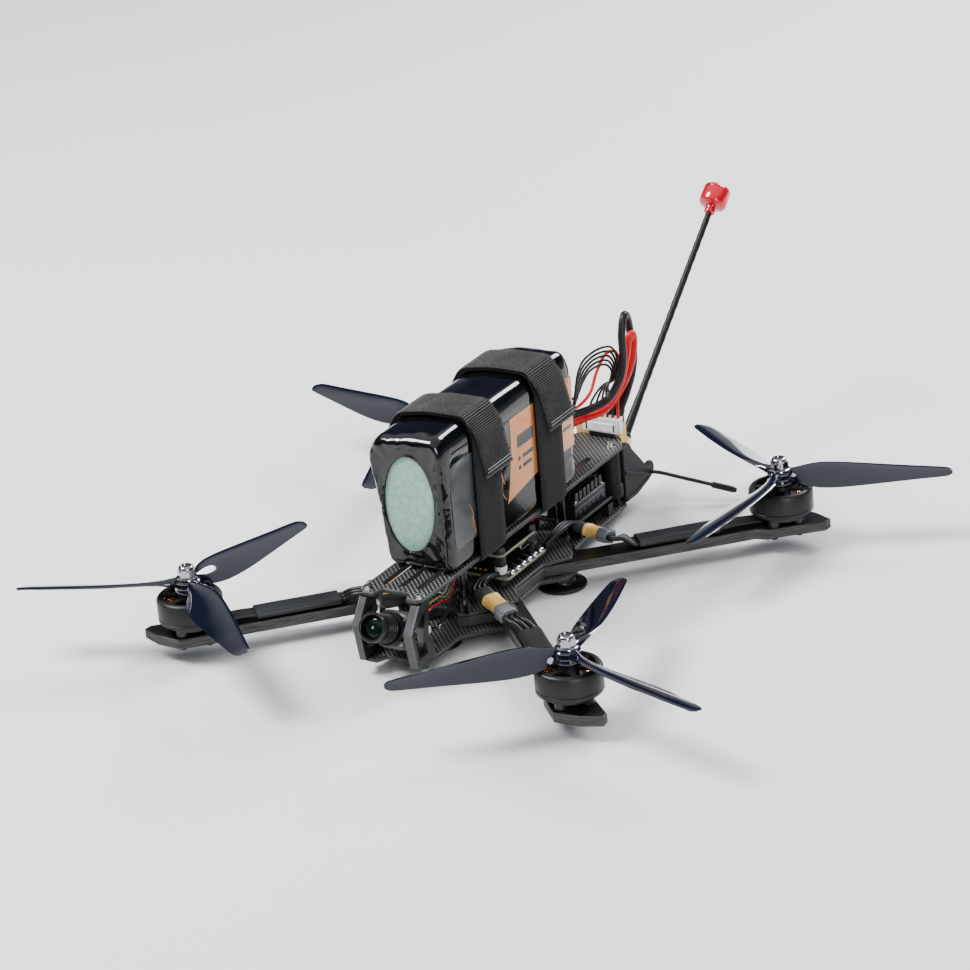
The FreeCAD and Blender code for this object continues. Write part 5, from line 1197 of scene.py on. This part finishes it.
def make_boards():
    """Speed controller with chips, solder and wires; flight controller with its socket; spacers."""
    esc = Shape()
    esc.prism(rounded((43.8, 39.8), 2.5), 20.95, 21, "board_edge")
    esc.prism(rounded((44, 40), 2.6), 21, 22.4, "board_edge", None, 0.1)
    esc.prism(rounded((43.6, 39.6), 2.4), 22.36, 22.52, "circuit", None, 0.05)
    for x in (-12, 12):
        for y in (-7.6, 0, 7.6):
            esc.box((5, 5.8, 1.1), (x, y, 23.05), "chip", None, 0.15)
            for k in range(4):
                for sy in (-1, 1):
                    esc.box((0.45, 0.9, 0.3), (x - 1.9 + 1.27 * k, y + sy * 3.15, 22.66), "solder", None,
                            0.08)
    for side in (-1, 1):
        for n in range(6):
            y = -13.4 + 5.8 * n
            x = side * 20.1
            blob = [(0.05, 0), (2.15, 0), (2.15, 0.5), (1.8, 1.3), (1, 1.85), (0.05, 2)]
            esc.lathe(blob, "solder", at(x, y, ESC_TOP), 20)
            esc.tube([(x - side * 0.6, y, 23.5), (x - side * 4, y, 24.3), (x - side * 8, y + 0.6, 23.5)],
                     1.25, "black", 10, 5)
    for k in range(10):
        esc.box((1.3, 0.8, 0.7), (-6 + 3 * (k % 5), -15.5 + 31 * (k // 5), 22.8), "tan", None, 0.12)
    esc.build("esc_board_parts", "esc_board", slot="circuit")

    fc = Shape()
    fc.prism(rounded((36, 36), 3), 32, 33.45, "board_edge", None, 0.1)
    fc.prism(rounded((35.7, 35.7), 2.9), 33.4, 33.6, "circuit", None, 0.05)
    fc.prism(rounded((35.7, 35.7), 2.9), 31.9, 32.06, "circuit", None, 0.05)
    fc.box((7, 7, 0.9), (-4, 0, 34), "chip", None, 0.12)
    fc.box((3, 3, 0.8), (5, -5, 34), "chip", None, 0.1)
    fc.box((3, 9, 2.2), (-14.5, 0, 34.6), "white", None, 0.2)
    for k in range(6):
        fc.box((0.9, 0.5, 0.4), (6 + 1.4 * (k % 3), 6 + 2.2 * (k // 3), 33.75), "tan", None, 0.08)
    shell = turned(at(14.6, 4.5, 30.5), 1 / 4, "Y")
    outer, hollow = rounded((3.2, 9), 1.4, 5), rounded((2.5, 8.3), 1.1, 5)
    rings = [[(x, y, -3.7) for x, y in outer], [(x, y, 3.7) for x, y in outer],
             [(x, y, 3.75) for x, y in hollow], [(x, y, -2) for x, y in hollow]]
    fc.rings(rings, "steel", shell)
    fc.box((0.7, 6.4, 4.4), (0, 0, 1), "chip", shell, 0.1)
    for k in range(9):
        fc.lathe([(0.05, 0), (0.8, 0), (0.7, 0.35), (0.05, 0.55)], "solder",
                 at(-14 + 3.5 * k, -16.4, 33.55), 12)
    fc.build("flight_controller_parts", "flight_controller", slot="circuit")

    spacers = Shape()
    for sx in (-1, 1):
        for sy in (-1, 1):
            x, y = sx * STACK_HOLE, sy * STACK_HOLE
            for low, high in ((15.5, 20.9), (22.5, 32), (33.6, 34.8)):
                tall = high - low
                body = [(1.7, 0), (2.7, 0), (3, 0.3)]
                if tall > 6:
                    body += [(3, tall * 0.42), (2.5, tall * 0.47), (2.5, tall * 0.52), (3, tall * 0.57)]
                body += [(3, tall - 0.3), (2.7, tall), (1.7, tall)]
                spacers.lathe(body, "grommet", at(x, y, low), 32, True)
            if sy < 0:
                spacers.lathe([(2.95, 0), (3.15, 0.15), (3.15, 4), (2.95, 4.2)], "white", at(x, y, 22.6),
                              32, True)
    spacers.build("stack_spacer_bushes", "stack_spacers", slot="nylon")


# ---- video transmitter and tray

def make_bay():
    """The tray frame, and the transmitter with its slotted heat sink."""
    tray = Shape()
    for x in (-11.25, 11.25):
        tray.box((10.5, 35, 2.4), (x, BAY_Y, 15.8), "printed")
    for y in (66.75, 94.25):
        tray.box((12.4, 7.4, 2.4), (0, y, 15.8), "printed")
    for x in (-15.7, 15.7):
        tray.box((1.6, 35, 3.4), (x, BAY_Y, 16.3), "printed")
        for y in (65.5, 95.5):
            leg = [(-2.5, -2.5), (2.5, -2.5), (2.5, 2.5), (-2.5, 2.5)]
            tray.prism([(x * 0.892 + a, y + b) for a, b in leg], 8.05, 14.7, "printed", None, 0.5)
    tray.build("vtx_tray_frame", "vtx_tray", slot="printed")

    vtx = Shape()
    vtx.box((26.8, 32.8, 6), (0, BAY_Y, 20.2), "sink", None, 0.6)
    vtx.box((27, 33, 3), (0, BAY_Y, 24.7), "sink", None, 0.5)
    for n in range(9):
        x = -12 + 3 * n
        for k in range(7):
            y = BAY_Y - 12.6 + 4.2 * k
            vtx.box((1.3, 3.1, 5.2), (x, y, 28.7), "sink", None, 0.25)
    for k in range(6):
        vtx.box((0.5, 2.6, 2), (13.55, 68.5 + 4.8 * k, 20.2), "sink", None, 0.2)
    for sx in (-1, 1):
        for y in (66.6, 94.4):
            vtx.lathe([(0.1, 0), (1.3, 0), (1.3, 0.7), (0.9, 1), (0.1, 0.8)], "steel",
                      at(sx * 11.6, y, 26.1), 16)
    vtx.box((5, 1.6, 3), (-6, 63.6, 19.4), "white", None, 0.2)
    vtx.build("video_transmitter_case", "video_transmitter", slot="heat_sink")

    rx = Shape()
    rx.box((10.8, 17.8, 1.1), (0, 84, 9.75), "circuit", None, 0.15)
    rx.box((8.8, 14.8, 1.3), (0, 84, 8.75), "fuzz", None, 0.2)
    rx.box((6.9, 6.9, 0.9), (0, 82, 10.7), "chip", None, 0.15)
    for k in range(4):
        rx.lathe([(0.05, 0), (0.7, 0), (0.6, 0.3), (0.05, 0.5)], "solder", at(-3.6 + 2.4 * k, 91.5, 10.3),
                 12)
    rx.build("receiver_parts", "receiver", slot="circuit")


# ---- tail mount and antennas

RISE = radians(39.6)
AXIS = Vector((0, cos(RISE), sin(RISE)))
ROOT = Vector((0, 131, 21))
ANTENNA = frame_to(ROOT, AXIS, (1, 0, 0))


def make_video_antenna():
    """A tapering braided stem in a rippled sleeve, a glossy red cap, and the gold plug at its root."""
    stem = Shape()
    rows = []
    for k in range(34):
        z = 18.1 + 0.65 * k
        rows.append((2.55 + 0.07 * cos(TAU * k / 3) - 0.014 * k, z))
    stem.lathe([(0.3, 18.05), (2.2, 18.05)] + rows + [(2.1, 40), (0.3, 40)], "ripple", ANTENNA, 28)
    steps = 120
    rings = []
    for k in range(steps + 1):
        z = 39 + 118 * k / steps
        taper = 1.95 - 0.22 * k / steps
        braid = [(a, taper + 0.07 * sin(2 * a - 0.85 * z)) for a in angles(14)]
        rings.append([(r * cos(a), r * sin(a), z) for a, r in braid])
    stem.rings(rings, "ripple", ANTENNA)
    stem.build("video_antenna_stem", "video_antenna", slot="antenna")
    cap = Shape()
    drum = [(0.1, 157.1), (2.4, 157.1), (3.1, 157.5), (3.2, 158.6), (3, 160), (3.4, 161), (6, 161.4),
            (7.2, 162.2), (7.75, 163.2), (7.75, 170.6), (7.55, 170.9), (7.55, 171.2), (7.7, 171.5),
            (7.3, 172.7), (6.4, 173.4), (3, 173.5), (0.1, 173.5)]
    cap.lathe(drum, "red_cap", ANTENNA, 64)
    cap.build("video_antenna_cap", slot="antenna")
    plug = Shape()
    plug.lathe([(0.5, -4), (3.1, -4), (3.1, 9), (0.5, 9)], "gold", ANTENNA, 32)
    for k in range(7):
        plug.lathe([(2.9, 3.5 + 0.75 * k), (3.22, 3.7 + 0.75 * k), (2.9, 3.9 + 0.75 * k)], "gold", ANTENNA,
                   32, True)
    plug.hexagon(7.9, 1.05, 3.25, "gold", ANTENNA, 0.35)
    plug.hexagon(7.7, 9, 15.6, "gold", ANTENNA, 0.4)
    plug.lathe([(0.5, 15.2), (3.3, 15.2), (3.4, 15.6), (3.4, 17.4), (3, 18), (0.5, 18)], "sleeve", ANTENNA,
               32)
    plug.build("antenna_plug_gold", "antenna_connector", slot="gold")


def make_whips():
    """Thin receiver antennas with rounded end sleeves."""
    whips = Shape()
    for side in (-1, 1):
        start = Vector((side * 17.1, 138.8, 15.4))
        bend = start + Vector((side * 6, 0.6, 0))
        way = Vector((side * 0.93, 0.28, -0.22)).normalized()
        tip = bend + way * 29
        whips.tube([start, bend, bend + way * 12, tip], 1, "sleeve", 12, 8)
        end = tip + way * 13.6

        def thick(t):
            return 1.15 if t < 0.04 else 1.72 - 0.5 * max(0, t - 0.9) / 0.1

        whips.tube([tip - way * 1 + (end - tip) * k / 6 for k in range(7)], thick, "black", 16, 3)
    whips.build("receiver_antenna_tubes", "receiver_antenna", slot="antenna")


def make_mount():
    """Printed tail mount: clips on the rear posts, ribbed cheeks, a sloping roof and ear lugs."""
    mount = Shape()
    outline = [(111.5, 8.3), (123, 8.3), (137, 11.5), (140.2, 12.3), (141.8, 13.4), (142.5, 15.4),
               (141.6, 18), (139.4, 19.2), (136.2, 19.6), (134.8, 21.4), (121.6, 35.6), (120, 38.4),
               (119, 39.8), (111.5, 39.9)]
    side_on = Matrix(((0, 0, 1, 0), (1, 0, 0, 0), (0, 1, 0, 0), (0, 0, 0, 1)))
    for side in (-1, 1):
        low, high = (12.6, 17) if side > 0 else (-17, -12.6)
        mount.prism(outline, low, high, "printed", side_on, 0.45)
        face = (17, 17.45) if side > 0 else (-17.45, -17)
        rib = [(112.2, 24.6), (130.4, 16.6), (131.4, 18), (112.2, 26.6)]
        mount.prism(rib, face[0] - 0.3, face[1] + 0.3, "printed", side_on, 0.25)
        rim = [(112, 9), (123, 9), (137, 12.2), (136.6, 13.8), (123, 10.8), (112, 10.8)]
        mount.prism(rim, face[0] - 0.3, face[1] + 0.2, "printed", side_on, 0.2)
    slope = [(119.2, 38.2), (120.6, 37.6), (121.8, 35.2), (134.8, 21), (133.6, 18), (130, 17), (118, 31)]
    for low, high in ((-12.7, -6.6), (6.6, 12.7)):
        mount.prism(slope, low, high, "printed", side_on, 0.3)
    floor = [(112, 8.5), (123, 8.5), (136.6, 11.7), (136.6, 14.2), (122, 10.9), (112, 10.9)]
    mount.prism(floor, -12.7, 12.7, "printed", side_on, 0.3)
    mount.lathe([(3.4, -9), (6.6, -9), (7, -8.6), (7, 0.4), (6.6, 0.8), (3.4, 0.8)], "printed", ANTENNA, 40,
                True)
    for side in (-1, 1):
        x = side * 12
        clip = [(2.65, 13.6), (5, 13.6), (5.2, 14), (5.2, 20.6), (4.5, 21.2), (4.3, 21.6), (4.3, 39),
                (4, 39.5), (2.65, 39.5)]
        mount.lathe(clip, "printed", at(x, 107.5, 0), 36, True)
        mount.box((5.4, 5, 25.6), (x, 111.4, 26.6), "printed", None, 0.5)
        turns = [-0.9 * pi + 1.75 * pi * k / 24 for k in range(25)]
        lug = [(side * 15.2, 140.2 + 2.5 * cos(a), 16.6 + 2.9 * sin(a)) for a in turns]
        mount.tube(lug, 1.5, "printed", 12, 2, None, 1.2)
    mount.build("antenna_mount_print", "antenna_mount", slot="printed")


# ---- feet and posts

def make_feet():
    """Glossy black suction-cup style feet: a thin dished disc on a short neck."""
    feet = Shape()
    for x, y in ((26, 25), (-26, 25), (0, -57)):
        profile = [(0.2, 0.1), (12.4, 0), (12.9, 0.25), (13, 0.7), (12.9, 1.3), (12.4, 1.6), (9, 1.75),
                   (7.5, 1.95), (6.6, 2.6), (6.3, 3.6), (6.3, 5.45), (0.2, 5.45)]
        feet.lathe(profile, "rubber", at(x, y, 0), 72)
    feet.build("landing_foot_discs", "landing_feet", slot="foot_rubber")


def make_posts():
    """Turned aluminium standoffs with a knurled thumb ring at the foot and grooves near the ends."""
    posts = Shape()
    spots = [(13.5, -49, 15.5), (-13.5, -49, 15.5), (13.5, 49.5, 15.5), (-13.5, 49.5, 15.5), (12, 107.5, 8),
             (-12, 107.5, 8)]
    for x, y, low in spots:
        tall = ROOF - low
        shaft = [(1.55, 0.02), (2.5, 0.02), (2.5, tall * 0.5 - 4), (2.3, tall * 0.5 - 3.6),
                 (2.3, tall * 0.5 + 3.6), (2.5, tall * 0.5 + 4), (2.5, tall - 1.6), (2.25, tall - 1.4),
                 (2.25, tall - 1), (2.5, tall - 0.8), (2.45, tall - 0.05), (1.55, tall - 0.05)]
        posts.lathe(shaft, "post", at(x, y, low), 36, True)
        teeth = 28
        reach = (2.85, 3.15)
        knurl = [(reach[k % 2] * cos(a), reach[k % 2] * sin(a)) for k, a in enumerate(angles(2 * teeth))]
        for k in range(5):
            turn = at(x, y, low + 0.1 + k) @ Matrix.Rotation(0.11 * (k % 2), 4, "Z")
            posts.prism(knurl, 0, 0.92, "post", turn, 0.12)
    posts.build("standoff_posts", "standoffs", slot="black_alloy")


for corner in CORNERS:
    make_propeller(*corner)
    make_bell(*corner[:3])
make_strap("front", "strap_front", -27, 9)
make_strap("rear", "strap_rear", 34.5, 11)
for make in (make_motor_bases, make_battery, make_labels, make_leads, make_plugs, make_arm_wiring,
             make_camera_cable, make_camera_body, make_boards, make_bay, make_video_antenna,
             make_whips, make_mount, make_feet, make_posts):
    make()

# the CAD nodes that stay, and the finish of each
KEEP = {
    "top_plate": "carbon", "mid_plate": "carbon", "bottom_plate": "carbon", "camera_plate_left": "cage",
    "camera_plate_right": "cage", "frame_screws": "steel", "motor_bearings": "steel",
    "motor_screws": "black_steel", "camera_brackets": "steel", "camera_screws": "steel",
    "stack_screws": "black_steel",
}
for corner in CORNERS:
    KEEP["arm_" + corner[0]] = "carbon_arm"
    KEEP["shaft_" + corner[0]] = "steel"
for node, finish in KEEP.items():
    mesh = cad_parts[node].data
    mesh.materials.clear()
    mesh.materials.append(M[finish])


# ---- stage, light and camera

def make_stage():
    floor = bpy.data.meshes.new("floor")
    edge = 6
    floor.from_pydata([(-edge, -edge, 0), (edge, -edge, 0), (edge, edge, 0), (-edge, edge, 0)], [],
                      [(0, 1, 2, 3)])
    obj = bpy.data.objects.new("floor", floor)
    bpy.context.scene.collection.objects.link(obj)
    g = Graph("pale_table")
    g.bump(g.noise(300, 3), 0.05, 0.1)
    floor.materials.append(g.done(g.mix(g.noise(3, 2), (0.80, 0.80, 0.79), (0.84, 0.84, 0.83)), 0.5))
    obj.location.z = -0.0002
    world = bpy.data.worlds.new("studio")
    bpy.context.scene.world = world
    world.use_nodes = True
    tree = world.node_tree
    coord = tree.nodes.new("ShaderNodeTexCoord")
    split = tree.nodes.new("ShaderNodeSeparateXYZ")
    ramp = tree.nodes.new("ShaderNodeValToRGB")
    path = tree.nodes.new("ShaderNodeLightPath")
    mix = tree.nodes.new("ShaderNodeMix")
    mix.data_type = "RGBA"
    tree.links.new(coord.outputs["Generated"], split.inputs[0])
    tree.links.new(split.outputs[2], ramp.inputs[0])
    stops = [(0, (0.34, 0.34, 0.35)), (0.10, (0.30, 0.31, 0.34)), (0.20, (0.045, 0.055, 0.10)),
             (0.46, (0.06, 0.07, 0.12)), (0.64, (0.85, 0.85, 0.86)), (1, (1, 1, 1))]
    while len(ramp.color_ramp.elements) < len(stops):
        ramp.color_ramp.elements.new(0.5)
    for element, (place, shade) in zip(ramp.color_ramp.elements, stops):
        element.position = place
        element.color = (*shade, 1)
    tree.links.new(ramp.outputs[0], mix.inputs[6])
    mix.inputs[7].default_value = (0.82, 0.84, 0.88, 1)
    tree.links.new(path.outputs["Is Camera Ray"], mix.inputs[0])
    tree.links.new(mix.outputs[2], tree.nodes["Background"].inputs[0])
    tree.nodes["Background"].inputs[1].default_value = 0.8


def light(name, where, target, size, power, color=(1, 1, 1)):
    data = bpy.data.lights.new(name, "AREA")
    data.shape, data.size, data.energy, data.color = "DISK", size, power, color
    lamp = bpy.data.objects.new(name, data)
    bpy.context.scene.collection.objects.link(lamp)
    lamp.location = where
    lamp.rotation_mode = "QUATERNION"
    lamp.rotation_quaternion = (Vector(target) - Vector(where)).to_track_quat("-Z", "Y")


def make_camera():
    """The view from the drone's front left, above it, with a slight roll."""
    azimuth, height, roll = radians(32.607), radians(23.357), radians(-5.018)
    look = Vector((-0.0304, 0.0479, 0.038))
    back = Vector((sin(azimuth) * cos(height), -cos(azimuth) * cos(height), sin(height)))
    right = (-back).cross(Vector((0, 0, 1))).normalized()
    up = right.cross(-back)
    r2 = right * cos(roll) + up * sin(roll)
    u2 = up * cos(roll) - right * sin(roll)
    m = Matrix((r2, u2, back)).transposed().to_4x4()
    m.translation = look + back * 2.1035
    data = bpy.data.cameras.new("view")
    data.lens, data.sensor_width = 149.46, 36
    data.clip_start, data.clip_end = 0.05, 50
    cam = bpy.data.objects.new("view", data)
    bpy.context.scene.collection.objects.link(cam)
    cam.matrix_world = m
    bpy.context.scene.camera = cam


make_stage()
light("key", (-0.9, -0.5, 1.5), (0, 0, 0.04), 0.8, 34)
light("fill", (1.6, -1.2, 0.9), (0, 0, 0.04), 1, 14, (0.95, 0.97, 1))
light("rim", (0.3, 1.5, 1.1), (0, 0, 0.06), 0.9, 26, (0.93, 0.96, 1))
bpy.context.scene.view_settings.look = "AgX - Medium High Contrast"
make_camera()
